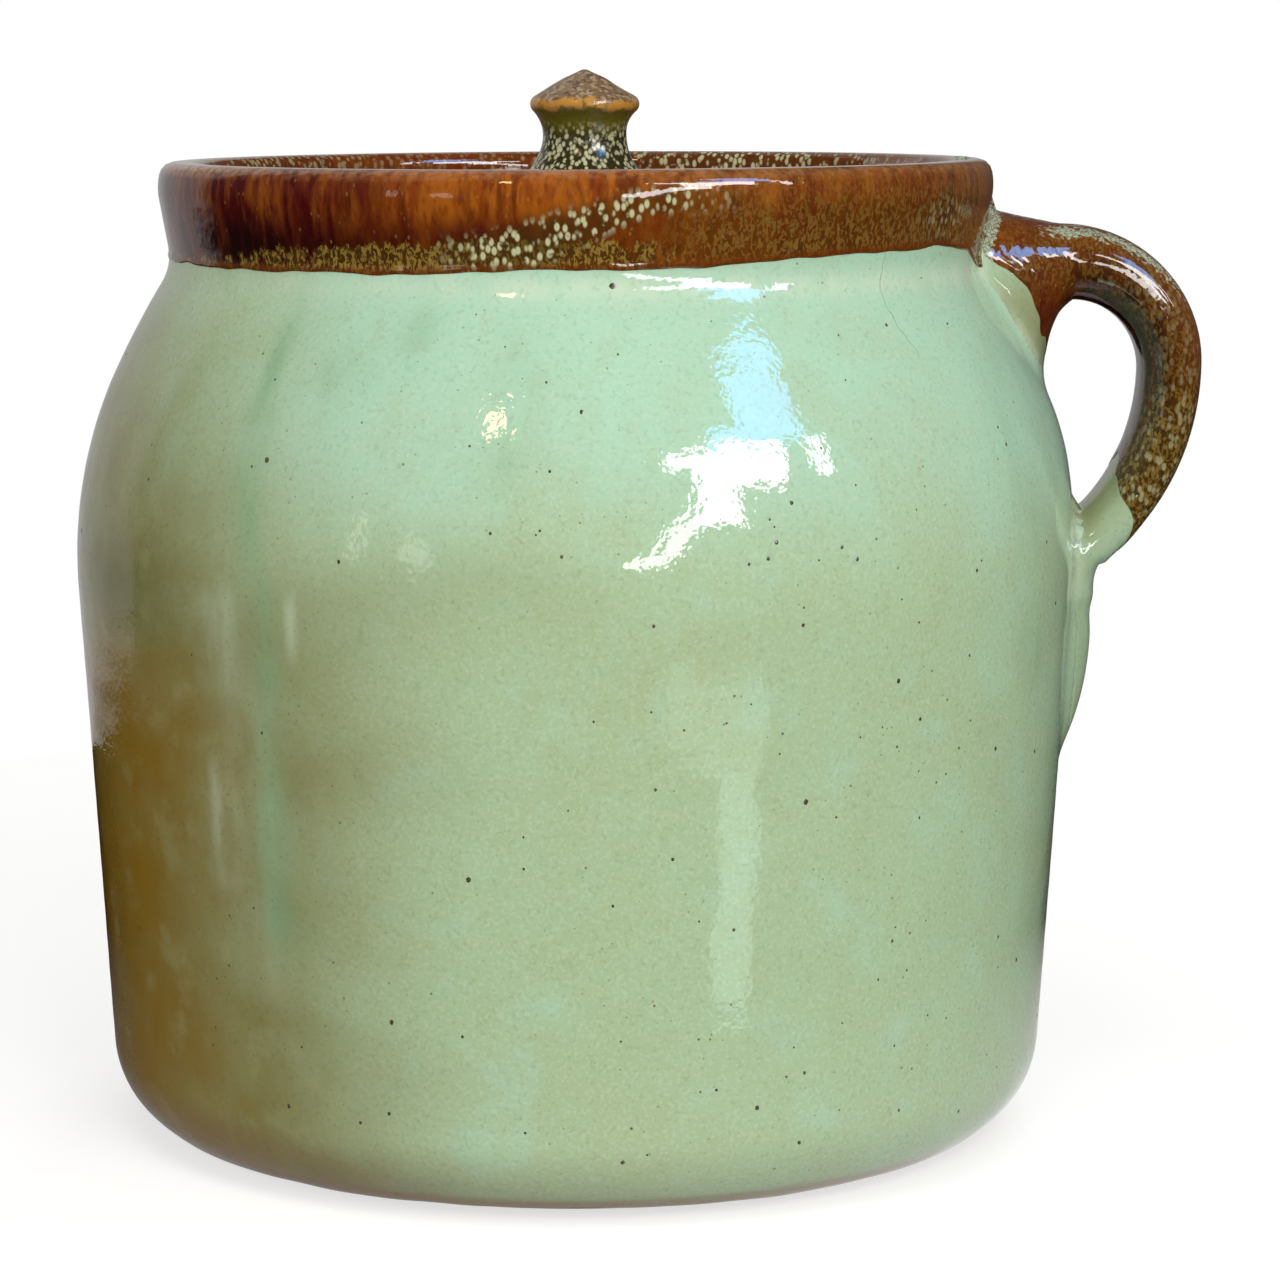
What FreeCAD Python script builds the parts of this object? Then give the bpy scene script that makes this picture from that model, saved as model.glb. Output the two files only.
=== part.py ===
"""Ceramic storage jar: a glazed stoneware pot with a strap handle and an inset lid.

The frame has +Z up, the origin at the middle of the flat base and the handle towards +X.
Sizes are millimetres and stand in the sheet; the clay is modelled bare, and each coat of
glaze is its own thin solid on the clay that carries it.
"""

import FreeCAD, Part
import math
import os
import Sketcher

V = FreeCAD.Vector

# Driving sizes of the clay. The glaze adds its own thickness to every coated face.
SIZES = {
    "glaze": 0.7,
    # pot, outside
    "base_radius": 76.0,
    "heel_curve": 17.6,
    "belly_radius": 99.3,
    "belly_height": 114.6,
    "belly_curve": 86.7,
    "shoulder_lean": 25.4,
    "shoulder_curve": 213.3,
    "neck_curve": 11.4,
    "collar_flare": 10.0,
    "rim_radius": 82.25,
    "lip_curve": 5.0,
    "pot_height": 192.3,
    # pot, inside
    "wall": 6.0,
    "floor": 8.0,
    "inner_heel_curve": 14.0,
    "mouth_radius": 75.0,
    "gallery_bore": 69.5,
    "gallery_depth": 10.0,
    # where the coats end
    "foot_line": 2.2,
    "collar_dip": 16.3,
    "strap_dip": 50.0,
    "dip_out": 10.5,
    # handle
    "root_drop": 19.4,
    "root_bury": 12.0,
    "root_sag": 5.0,
    "root_depth": 34.0,
    "root_width": 44.0,
    "handle_reach": 20.1,
    "bow_curve": 21.0,
    "hang_curve": 46.0,
    "strap_thickness": 11.8,
    "bow_swell": 1.5,
    "strap_width": 22.0,
    "landing_thickness": 9.8,
    "landing_width": 27.0,
    "tail_length": 46.0,
    "tail_width": 24.0,
    "tail_proud": 4.6,
    "tail_drop": 12.9,
    "web_length": 28.0,
    "web_width": 30.0,
    "web_depth": 7.6,
    "web_out": 4.6,
    "web_drop": 10.4,
    # lid and knob
    "seat_gap": 0.2,
    "lid_clearance": 2.2,
    "lid_thickness": 5.0,
    "lid_edge_curve": 1.6,
    "lid_offset": 1.4,
    "lid_glaze_edge": 2.4,
    "knob_offset": 0.25,
    "knob_height": 23.1,
    "knob_edge_radius": 10.1,
    "knob_edge_curve": 1.1,
    "knob_edge_height": 16.6,
    "knob_waist_radius": 7.6,
    "knob_waist_height": 10.9,
    "knob_flare_curve": 12.5,
    "knob_tip_curve": 1.6,
}

doc = FreeCAD.newDocument("storage_jar")
sheet = doc.addObject("Spreadsheet::Sheet", "sizes")
for row, (alias, number) in enumerate(SIZES.items(), start=1):
    sheet.set(f"A{row}", alias)
    sheet.set(f"B{row}", str(number))
    sheet.setAlias(f"B{row}", alias)
doc.recompute()


def size(alias):
    """The number that stands in the sheet under this name."""
    return float(sheet.get(alias))


def origin_plane(body, role):
    """One of a body's own origin planes."""
    return next(f for f in body.Origin.OriginFeatures if f.Role == role)


class Profile:
    """A closed outline in the body's XZ plane, drawn in order and tied to the sheet."""

    def __init__(self, body, name):
        self.sketch = body.newObject("Sketcher::SketchObject", name)
        self.sketch.AttachmentSupport = [(origin_plane(body, "XZ_Plane"), "")]
        self.sketch.MapMode = "FlatFace"

    def line(self, start, end):
        """A straight side between two points."""
        return self.sketch.addGeometry(Part.LineSegment(V(*start, 0), V(*end, 0)))

    def arc(self, centre, radius, low, high):
        """A round side, anticlockwise between two angles in radians."""
        circle = Part.Circle(V(*centre, 0), V(0, 0, 1), radius)
        return self.sketch.addGeometry(Part.ArcOfCircle(circle, low, high))

    def fix(self, *constraint):
        """A constraint with no size."""
        return self.sketch.addConstraint(Sketcher.Constraint(*constraint))

    def tie(self, name, expression, *constraint):
        """A constraint whose size follows an expression on the sheet."""
        index = self.sketch.addConstraint(Sketcher.Constraint(*constraint))
        self.sketch.renameConstraint(index, name)
        self.sketch.setExpression(f"Constraints.{name}", expression)

    def tie_radius(self, name, side, expression):
        """Ties the radius of an arc."""
        self.tie(name, expression, "Radius", side, self.sketch.Geometry[side].Radius)

    def tie_x(self, name, side, end, expression):
        """Ties the distance of a point from the axis."""
        self.tie(name, expression, "DistanceX", -1, 1, side, end, self.sketch.getPoint(side, end).x)

    def tie_z(self, name, side, end, expression):
        """Ties the height of a point."""
        self.tie(name, expression, "DistanceY", -1, 1, side, end, self.sketch.getPoint(side, end).y)


START, END, CENTRE = 1, 2, 3
AXIS_Z = -2


def polar(centre, radius, angle):
    """The point of a circle at an angle."""
    return centre[0] + radius * math.cos(angle), centre[1] + radius * math.sin(angle)


def common_tangent(first, first_radius, second, second_radius):
    """The angle at which one straight side touches two circles, both on its inner side."""
    across = (second[0] - first[0], second[1] - first[1])
    turn = math.acos((first_radius - second_radius) / math.hypot(*across))
    return math.atan2(across[1], across[0]) - turn


class PotShape:
    """Where the arcs of the pot lie, grown outwards by a coat that is `coat` thick."""

    def __init__(self, coat):
        self.coat = coat
        self.heel = (size("base_radius"), size("heel_curve"))
        self.heel_radius = size("heel_curve") + coat
        self.belly = (size("belly_radius") - size("belly_curve"), size("belly_height"))
        self.belly_radius = size("belly_curve") + coat
        self.lean = math.radians(size("shoulder_lean"))
        back = size("belly_curve") - size("shoulder_curve")
        self.shoulder = polar(self.belly, back, self.lean)
        self.shoulder_radius = size("shoulder_curve") + coat
        self.wall_angle = common_tangent(
            self.heel, self.heel_radius, self.belly, self.belly_radius
        )
        self.lip = (size("rim_radius") - size("lip_curve"), size("pot_height") - size("lip_curve"))
        self.lip_radius = size("lip_curve") + coat
        self.flare = -math.radians(size("collar_flare"))
        self.neck_radius = size("neck_curve") - coat
        self.neck = self.neck_centre()
        rise = self.neck[1] - self.shoulder[1]
        self.neck_angle = math.atan2(rise, self.neck[0] - self.shoulder[0])
        inner_curve = self.lip[0] - size("mouth_radius")
        self.inner_lip = (self.lip[0], size("pot_height") - inner_curve)
        self.inner_lip_radius = inner_curve + coat
        self.ledge = size("pot_height") - size("gallery_depth") + coat
        self.bore = size("gallery_bore") - coat
        self.inner_shoulder_radius = size("shoulder_curve") - size("wall") - coat
        run = self.bore - self.shoulder[0]
        self.bore_angle = math.acos(run / self.inner_shoulder_radius)
        self.inner_belly_radius = size("belly_curve") - size("wall") - coat
        self.inner_heel_radius = size("inner_heel_curve") - coat
        self.inner_heel = self.inner_heel_centre()

    def neck_centre(self):
        """The centre of the hollow arc that touches both the shoulder and the collar's side."""
        out = (math.cos(self.flare), math.sin(self.flare))
        up = (-out[1], out[0])
        reach = self.lip_radius + self.neck_radius
        start = (self.lip[0] + out[0] * reach, self.lip[1] + out[1] * reach)
        away = (start[0] - self.shoulder[0], start[1] - self.shoulder[1])
        along = away[0] * up[0] + away[1] * up[1]
        span = self.shoulder_radius + self.neck_radius
        slack = along ** 2 - away[0] ** 2 - away[1] ** 2 + span ** 2
        step = math.sqrt(slack) - along
        return start[0] + up[0] * step, start[1] + up[1] * step

    def inner_heel_centre(self):
        """The centre of the arc between the floor and the inside of the wall."""
        out = (math.cos(self.wall_angle), math.sin(self.wall_angle))
        inset = size("heel_curve") - size("wall") - size("inner_heel_curve")
        height = size("floor") + size("inner_heel_curve")
        start = (self.heel[0] + out[0] * inset, self.heel[1] + out[1] * inset)
        up = (-out[1], out[0])
        step = (height - start[1]) / up[1]
        return start[0] + up[0] * step, height


def draw_outside(profile, shape, coat):
    """The outside from the base to the top of the lip. Returns its first and last side."""
    wall, lean = shape.wall_angle, shape.lean
    base = profile.line((0, -shape.coat), (shape.heel[0], -shape.coat))
    heel = profile.arc(shape.heel, shape.heel_radius, -math.pi / 2, wall)
    side = profile.line(
        polar(shape.heel, shape.heel_radius, wall), polar(shape.belly, shape.belly_radius, wall)
    )
    belly = profile.arc(shape.belly, shape.belly_radius, wall, lean)
    shoulder = profile.arc(shape.shoulder, shape.shoulder_radius, lean, shape.neck_angle)
    neck = profile.arc(
        shape.neck, shape.neck_radius, shape.neck_angle + math.pi, shape.flare + math.pi
    )
    collar = profile.line(
        polar(shape.neck, shape.neck_radius, shape.flare + math.pi),
        polar(shape.lip, shape.lip_radius, shape.flare),
    )
    lip = profile.arc(shape.lip, shape.lip_radius, shape.flare, math.pi / 2)
    radius_line = profile.line(shape.belly, polar(shape.belly, shape.belly_radius, lean))
    profile.sketch.toggleConstruction(radius_line)

    profile.fix("PointOnObject", base, START, AXIS_Z)
    profile.fix("Horizontal", base)
    profile.fix("Tangent", base, END, heel, START)
    profile.fix("Tangent", heel, END, side, START)
    profile.fix("Tangent", side, END, belly, START)
    profile.fix("Tangent", belly, END, shoulder, START)
    profile.fix("Tangent", shoulder, END, neck, END)
    profile.fix("Tangent", neck, START, collar, START)
    profile.fix("Tangent", collar, END, lip, START)
    profile.fix("Coincident", radius_line, START, belly, CENTRE)
    profile.fix("Coincident", radius_line, END, belly, END)
    profile.fix("Vertical", lip, CENTRE, lip, END)
    profile.tie_x("base_radius", heel, CENTRE, "sizes.base_radius")
    profile.tie_z("heel_height", heel, CENTRE, "sizes.heel_curve")
    profile.tie_radius("heel_curve", heel, f"sizes.heel_curve + {coat}")
    profile.tie_x("belly_centre", belly, CENTRE, "sizes.belly_radius - sizes.belly_curve")
    profile.tie_z("belly_height", belly, CENTRE, "sizes.belly_height")
    profile.tie_radius("belly_curve", belly, f"sizes.belly_curve + {coat}")
    profile.tie("shoulder_lean", "sizes.shoulder_lean", "Angle", radius_line, lean)
    profile.tie_radius("shoulder_curve", shoulder, f"sizes.shoulder_curve + {coat}")
    profile.tie_radius("neck_curve", neck, f"sizes.neck_curve - {coat}")
    flare = math.pi / 2 + shape.flare
    profile.tie("collar_flare", "90 - sizes.collar_flare", "Angle", collar, flare)
    profile.tie_x("lip_centre", lip, CENTRE, "sizes.rim_radius - sizes.lip_curve")
    profile.tie_z("lip_height", lip, CENTRE, "sizes.pot_height - sizes.lip_curve")
    profile.tie_radius("lip_curve", lip, f"sizes.lip_curve + {coat}")
    return base, side, belly, shoulder, lip


def draw_inside(profile, shape, coat, base, side, belly, shoulder, lip):
    """The inside from the top of the lip, over the lid's seat, down to the floor."""
    wall, lean = shape.wall_angle, shape.lean
    mouth = shape.inner_lip[0] - shape.inner_lip_radius
    lip_in = profile.arc(shape.inner_lip, shape.inner_lip_radius, math.pi / 2, math.pi)
    throat = profile.line((mouth, shape.inner_lip[1]), (mouth, shape.ledge))
    ledge = profile.line((mouth, shape.ledge), (shape.bore, shape.ledge))
    under = polar(shape.shoulder, shape.inner_shoulder_radius, shape.bore_angle)
    bore = profile.line((shape.bore, shape.ledge), under)
    shoulder_in = profile.arc(
        shape.shoulder, shape.inner_shoulder_radius, lean, shape.bore_angle
    )
    belly_in = profile.arc(shape.belly, shape.inner_belly_radius, wall, lean)
    side_in = profile.line(
        polar(shape.belly, shape.inner_belly_radius, wall),
        polar(shape.inner_heel, shape.inner_heel_radius, wall),
    )
    heel_in = profile.arc(shape.inner_heel, shape.inner_heel_radius, -math.pi / 2, wall)
    floor_height = size("floor") + shape.coat
    floor = profile.line((shape.inner_heel[0], floor_height), (0, floor_height))
    axis = profile.line((0, floor_height), (0, -shape.coat))

    profile.fix("Tangent", lip, END, lip_in, START)
    profile.fix("Tangent", lip_in, END, throat, START)
    profile.fix("Vertical", throat)
    profile.fix("Coincident", throat, END, ledge, START)
    profile.fix("Horizontal", ledge)
    profile.fix("Coincident", ledge, END, bore, START)
    profile.fix("Vertical", bore)
    profile.fix("Coincident", bore, END, shoulder_in, END)
    profile.fix("Coincident", shoulder_in, CENTRE, shoulder, CENTRE)
    profile.fix("Tangent", shoulder_in, START, belly_in, END)
    profile.fix("Coincident", belly_in, CENTRE, belly, CENTRE)
    profile.fix("Tangent", belly_in, START, side_in, START)
    profile.fix("Parallel", side_in, side)
    profile.fix("Tangent", side_in, END, heel_in, END)
    profile.fix("Tangent", heel_in, START, floor, START)
    profile.fix("Horizontal", floor)
    profile.fix("Coincident", floor, END, axis, START)
    profile.fix("Coincident", axis, END, base, START)
    profile.fix("Vertical", axis)
    profile.tie_x("mouth_radius", throat, END, f"sizes.mouth_radius - {coat}")
    profile.tie_z("ledge_height", ledge, END, f"sizes.pot_height - sizes.gallery_depth + {coat}")
    profile.tie_x("gallery_bore", bore, START, f"sizes.gallery_bore - {coat}")
    profile.tie_radius(
        "inner_belly_curve", belly_in, f"sizes.belly_curve - sizes.wall - {coat}"
    )
    profile.tie_radius("inner_heel_curve", heel_in, f"sizes.inner_heel_curve - {coat}")
    profile.tie_z("floor_height", floor, START, f"sizes.floor + {coat}")


def turned(body, sketch):
    """Turns a closed outline once round the body's vertical axis."""
    feature = body.newObject("PartDesign::Revolution", f"{body.Name}_turning")
    feature.Profile = sketch
    feature.ReferenceAxis = (sketch, ["V_Axis"])
    feature.Angle = 360
    body.Tip = feature
    sketch.Visibility = False


def new_body(name):
    """An empty body with its own label."""
    body = doc.addObject("PartDesign::Body", name)
    body.Label = name
    return body


def pot_body(name, coat, hollow):
    """The pot as a turned solid, grown by the glaze if `coat` says so."""
    body = new_body(name)
    profile = Profile(body, f"{name}_outline")
    shape = PotShape(size("glaze") if coat else 0.0)
    grown = "sizes.glaze" if coat else "0"
    base, side, belly, shoulder, lip = draw_outside(profile, shape, grown)
    if hollow:
        draw_inside(profile, shape, grown, base, side, belly, shoulder, lip)
    else:
        top_height = size("pot_height") + shape.coat
        top = profile.line((shape.lip[0], top_height), (0, top_height))
        axis = profile.line((0, top_height), (0, -shape.coat))
        profile.fix("Tangent", lip, END, top, START)
        profile.fix("Coincident", top, END, axis, START)
        profile.fix("Vertical", axis)
        profile.fix("Coincident", axis, END, base, START)
    turned(body, profile.sketch)
    return body


def cylinder(name, radius, height, bottom):
    """An upright cylinder round the pot's axis, used to mark off a stretch of a coat."""
    solid = doc.addObject("Part::Cylinder", name)
    solid.Label = name
    solid.setExpression("Radius", radius)
    solid.setExpression("Height", height)
    solid.setExpression("Placement.Base.z", bottom)
    return solid


def cut(name, base, tool):
    """What is left of one object outside another."""
    result = doc.addObject("Part::Cut", name)
    result.Label = name
    result.Base = base
    result.Tool = tool
    return result


def common(name, base, tool):
    """What two objects share."""
    result = doc.addObject("Part::Common", name)
    result.Label = name
    result.Base = base
    result.Tool = tool
    return result


def fuse(name, *shapes):
    """Several objects made into one."""
    result = doc.addObject("Part::MultiFuse", name)
    result.Label = name
    result.Shapes = list(shapes)
    return result


# The strap: a level root, a quarter turn round the bow, then a wide hanging curve to the belly.
# Each root step holds two shares: how far back towards the collar its section stands, and how
# far it has grown from the strap's size to the root's. The turns are in degrees. The first and
# the last sections lie inside the outline of the pot, which cuts the strap off at its surface.
BOW_X = "(sizes.belly_radius + sizes.handle_reach - sizes.bow_curve)"
ROOT_X = "(sizes.rim_radius - sizes.root_bury)"
ROOT_Z = "(sizes.pot_height - sizes.root_drop)"
ROOT_STEPS = ((1.0, 1.0), (0.55, 0.55), (0.25, 0.22))
BOW_TURNS = (0, 30, 60, 90)
HANG_TURNS = (15, 30, 45, 60, 78)
LANDING_TURN = 60


def between(low, high, share):
    """An expression for a value part of the way between two cells."""
    return f"sizes.{low} + (sizes.{high} - sizes.{low}) * {share}"


def section(name, tilt, x, z, thickness, width, coat):
    """One oval section of the strap, square to its path."""
    oval = doc.addObject("Part::Ellipse", name)
    oval.setExpression("MajorRadius", f"({width}) / 2 + {coat}")
    oval.setExpression("MinorRadius", f"({thickness}) / 2 + {coat}")
    across = FreeCAD.Rotation(V(1, 1, 1), 120)
    oval.Placement = FreeCAD.Placement(V(), FreeCAD.Rotation(V(0, 1, 0), tilt) * across)
    oval.setExpression("Placement.Base.x", x)
    oval.setExpression("Placement.Base.z", z)
    return oval


def strap(name, coat):
    """The whole pulled strap as one loft, its ends buried in the pot."""
    sections = []
    for step, (away, grown) in enumerate(ROOT_STEPS):
        x = f"{BOW_X} - ({BOW_X} - {ROOT_X}) * {away}"
        z = f"{ROOT_Z} - sizes.root_sag * {grown}"
        thickness = f"{between('strap_thickness', 'root_depth', grown)} + sizes.bow_swell"
        width = between("strap_width", "root_width", grown)
        sections.append(section(f"{name}_root_{step}", 0, x, z, thickness, width, coat))
    for turn in BOW_TURNS:
        x = f"{BOW_X} + sizes.bow_curve * sin({turn} deg)"
        z = f"{ROOT_Z} - sizes.bow_curve * (1 - cos({turn} deg))"
        swell = 1 - turn / BOW_TURNS[-1]
        thickness = f"sizes.strap_thickness + sizes.bow_swell * {swell}"
        oval = section(f"{name}_bow_{turn}", turn, x, z, thickness, "sizes.strap_width", coat)
        sections.append(oval)
    for turn in HANG_TURNS:
        grown = turn / HANG_TURNS[-1]
        x = f"sizes.belly_radius + sizes.handle_reach - sizes.hang_curve * (1 - cos({turn} deg))"
        z = f"{ROOT_Z} - sizes.bow_curve - sizes.hang_curve * sin({turn} deg)"
        thickness = between("strap_thickness", "landing_thickness", grown)
        width = between("strap_width", "landing_width", grown ** 2)
        tilt = BOW_TURNS[-1] + turn
        sections.append(section(f"{name}_hang_{turn}", tilt, x, z, thickness, width, coat))
    loft = doc.addObject("Part::Loft", name)
    loft.Sections = sections
    loft.Solid = True
    loft.Ruled = False
    for oval in sections:
        oval.Visibility = False
    return loft


def tail(name, coat):
    """The strap's end where it is wiped down the wall: a long low swelling."""
    pad = doc.addObject("Part::Ellipsoid", name)
    pad.setExpression("Radius1", f"sizes.tail_length / 2 + {coat}")
    pad.setExpression("Radius2", f"sizes.tail_proud * 2 + {coat}")
    pad.setExpression("Radius3", f"sizes.tail_width / 2 + {coat}")
    landing = f"{ROOT_Z} - sizes.bow_curve - sizes.hang_curve * sin({LANDING_TURN} deg)"
    pad.setExpression("Placement.Base.x", "sizes.belly_radius - sizes.tail_proud")
    pad.setExpression("Placement.Base.z", f"{landing} - sizes.tail_drop")
    return pad


def root_web(name, coat):
    """The clay smeared from the underside of the root down on to the shoulder."""
    web = doc.addObject("Part::Ellipsoid", name)
    web.setExpression("Radius1", f"sizes.web_length / 2 + {coat}")
    web.setExpression("Radius2", f"sizes.web_depth + {coat}")
    web.setExpression("Radius3", f"sizes.web_width / 2 + {coat}")
    web.setExpression("Placement.Base.x", "sizes.rim_radius + sizes.web_out")
    web.setExpression("Placement.Base.z", f"{ROOT_Z} - sizes.web_drop")
    return web


def knob_body(name, coat):
    """The knob: a flared foot, a waist, a rounded edge and a cone to a blunt tip."""
    body = new_body(name)
    profile = Profile(body, f"{name}_outline")
    grown = size("glaze") if coat else 0.0
    extra = "sizes.glaze" if coat else "0"
    waist = (size("knob_waist_radius"), size("knob_waist_height"))
    edge = (size("knob_edge_radius") - size("knob_edge_curve"), size("knob_edge_height"))
    edge_radius = size("knob_edge_curve") + grown
    flare_radius = size("knob_flare_curve") - grown
    flare = (waist[0] + size("knob_flare_curve"), waist[1])
    rise, run = edge[1] - waist[1], edge[0] - waist[0]
    curve = size("knob_edge_curve")
    neck_curve = (rise ** 2 + run ** 2 - curve ** 2) / (2 * (run + curve))
    neck_radius = neck_curve - grown
    neck = (waist[0] + neck_curve, waist[1])
    touch = math.atan2(edge[1] - neck[1], edge[0] - neck[0])
    tip_radius = size("knob_tip_curve") + grown
    tip_height = size("knob_height") - size("knob_tip_curve")
    cone = common_tangent(edge, edge_radius, (0, tip_height), tip_radius)
    slope = (math.cos(cone), math.sin(cone))
    foot_x = flare[0] - math.sqrt(flare_radius ** 2 - flare[1] ** 2)
    foot_angle = math.atan2(-flare[1], foot_x - flare[0])

    foot = profile.line((0, 0), (foot_x, 0))
    low = profile.arc(flare, flare_radius, math.pi, foot_angle + 2 * math.pi)
    high = profile.arc(neck, neck_radius, touch, math.pi)
    rim = profile.arc(edge, edge_radius, touch - math.pi, cone)
    face = profile.line(
        (edge[0] + slope[0] * edge_radius, edge[1] + slope[1] * edge_radius),
        (slope[0] * tip_radius, tip_height + slope[1] * tip_radius),
    )
    tip = profile.arc((0, tip_height), tip_radius, cone, math.pi / 2)
    axis = profile.line((0, tip_height + tip_radius), (0, 0))
    profile.fix("Coincident", foot, START, -1, START)
    profile.fix("Horizontal", foot)
    profile.fix("Coincident", foot, END, low, END)
    profile.fix("Tangent", low, START, high, END)
    profile.fix("Tangent", high, START, rim, START)
    profile.fix("Tangent", rim, END, face, START)
    profile.fix("Tangent", face, END, tip, START)
    profile.fix("PointOnObject", tip, CENTRE, AXIS_Z)
    profile.fix("Coincident", tip, END, axis, START)
    profile.fix("PointOnObject", axis, START, AXIS_Z)
    profile.fix("Coincident", axis, END, foot, START)
    profile.fix("Horizontal", low, CENTRE, low, START)
    profile.tie_x("waist_radius", low, START, f"sizes.knob_waist_radius + {extra}")
    profile.tie_z("waist_height", low, CENTRE, "sizes.knob_waist_height")
    profile.tie_radius("flare_curve", low, f"sizes.knob_flare_curve - {extra}")
    profile.tie_x("edge_centre", rim, CENTRE, "sizes.knob_edge_radius - sizes.knob_edge_curve")
    profile.tie_z("edge_height", rim, CENTRE, "sizes.knob_edge_height")
    profile.tie_radius("edge_curve", rim, f"sizes.knob_edge_curve + {extra}")
    profile.tie_radius("tip_curve", tip, f"sizes.knob_tip_curve + {extra}")
    profile.tie_z("tip_height", tip, CENTRE, "sizes.knob_height - sizes.knob_tip_curve")
    turned(body, profile.sketch)
    return body


LID_RADIUS = "(sizes.mouth_radius - sizes.glaze - sizes.lid_clearance)"


def lid_radius():
    """The radius of the bare lid, which has to drop into the glazed collar."""
    return size("mouth_radius") - size("glaze") - size("lid_clearance")


def lid_body(name, coat):
    """The lid's disc with its top edge rounded over."""
    body = new_body(name)
    profile = Profile(body, f"{name}_outline")
    grown = size("glaze") if coat else 0.0
    extra = "sizes.glaze" if coat else "0"
    radius, top = lid_radius() + grown, size("lid_thickness") + grown
    curve = size("lid_edge_curve") + grown
    inner = (lid_radius() - size("lid_edge_curve"), size("lid_thickness") - size("lid_edge_curve"))
    under = profile.line((0, 0), (radius, 0))
    edge = profile.line((radius, 0), (radius, inner[1]))
    over = profile.arc(inner, curve, 0, math.pi / 2)
    face = profile.line((inner[0], top), (0, top))
    axis = profile.line((0, top), (0, 0))
    profile.fix("Coincident", under, START, -1, START)
    profile.fix("Horizontal", under)
    profile.fix("Coincident", under, END, edge, START)
    profile.fix("Vertical", edge)
    profile.fix("Tangent", edge, END, over, START)
    profile.fix("Tangent", over, END, face, START)
    profile.fix("Horizontal", face)
    profile.fix("Coincident", face, END, axis, START)
    profile.fix("Vertical", axis)
    profile.fix("Coincident", axis, END, under, START)
    profile.tie_x("lid_radius", under, END, f"{LID_RADIUS} + {extra}")
    profile.tie_z("lid_thickness", face, START, f"sizes.lid_thickness + {extra}")
    profile.tie_radius("lid_edge_curve", over, f"sizes.lid_edge_curve + {extra}")
    turned(body, profile.sketch)
    return body


def seat(solid, height, offset):
    """Sets a piece of the lid at its height and at its place in the collar."""
    solid.setExpression("Placement.Base.x", offset)
    solid.setExpression("Placement.Base.z", height)


LEDGE = "sizes.pot_height - sizes.gallery_depth + sizes.seat_gap"
LID_TOP = f"{LEDGE} + sizes.lid_thickness"
KNOB_X = "sizes.lid_offset + sizes.knob_offset"
CLEAR = 20
FAR = f"sizes.belly_radius + sizes.handle_reach + sizes.strap_thickness + {CLEAR}"

# Pot
pot_clay = pot_body("pot_clay", coat=False, hollow=True)
pot_filled = pot_body("pot_filled", coat=False, hollow=False)
pot_coated = pot_body("pot_coated", coat=True, hollow=True)

# Handle
strap_bare = strap("strap_bare", "0")
tail_bare = tail("tail_bare", "0")
web_bare = root_web("web_bare", "0")
strap_coated = strap("strap_coated", "sizes.glaze")
tail_coated = tail("tail_coated", "sizes.glaze")
web_coated = root_web("web_coated", "sizes.glaze")
handle_bare = fuse("handle_bare", strap_bare, tail_bare, web_bare)
handle_coated = fuse("handle_coated", strap_coated, tail_coated, web_coated)
handle_clay = cut("handle_clay", handle_bare, pot_filled)

# Coats on the pot
pot_coat = cut("pot_coat", pot_coated, pot_clay)
outer_coat = cut("outer_coat", pot_coat, pot_filled)
BOUNDARY = "(sizes.pot_height - sizes.collar_dip)"
below_neck = cylinder(
    "below_neck", FAR, f"{BOUNDARY} - sizes.foot_line", "sizes.foot_line"
)
celadon_whole = common("celadon_whole", outer_coat, below_neck)
celadon_glaze = cut("celadon_glaze", celadon_whole, handle_coated)

above_neck = cylinder("above_neck", FAR, f"sizes.collar_dip + {CLEAR}", BOUNDARY)
collar_all = common("collar_all", pot_coat, above_neck)
inside_ledge = cylinder(
    "inside_ledge",
    "sizes.mouth_radius + sizes.glaze / 2",
    "sizes.pot_height - sizes.gallery_depth + sizes.glaze",
    "0",
)
collar_whole = cut("collar_whole", collar_all, inside_ledge)
collar_glaze = cut("collar_glaze", collar_whole, handle_coated)

below_ledge = cylinder(
    "below_ledge", FAR, "sizes.pot_height - sizes.gallery_depth", "0"
)
inner_coat = common("inner_coat", pot_coat, pot_filled)
liner_glaze = common("liner_glaze", inner_coat, below_ledge)

# Coats on the handle, parted on the slanting line where the brown dip ends on the strap
DIP_SLOPE = 62
handle_shell = cut("handle_shell", handle_coated, handle_bare)
handle_coat = cut("handle_coat", handle_shell, pot_filled)
dip = doc.addObject("Part::Box", "brown_dip")
dip.Label = "brown_dip"
dip.setExpression("Length", f"({FAR}) * 2")
dip.setExpression("Width", "sizes.root_width * 2 + sizes.landing_width * 2")
dip.setExpression("Height", "sizes.pot_height")
dip.Placement = FreeCAD.Placement(V(), FreeCAD.Rotation(V(0, 1, 0), DIP_SLOPE))
DIP_X = "sizes.belly_radius + sizes.dip_out"
dip.setExpression("Placement.Base.x", f"{DIP_X} - ({FAR}) * cos({DIP_SLOPE} deg)")
dip.setExpression("Placement.Base.y", "-sizes.root_width - sizes.landing_width")
dip.setExpression(
    "Placement.Base.z", f"{ROOT_Z} - sizes.strap_dip + ({FAR}) * sin({DIP_SLOPE} deg)"
)
handle_brown_glaze = common("handle_brown_glaze", handle_coat, dip)
handle_green_glaze = cut("handle_green_glaze", handle_coat, dip)

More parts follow.
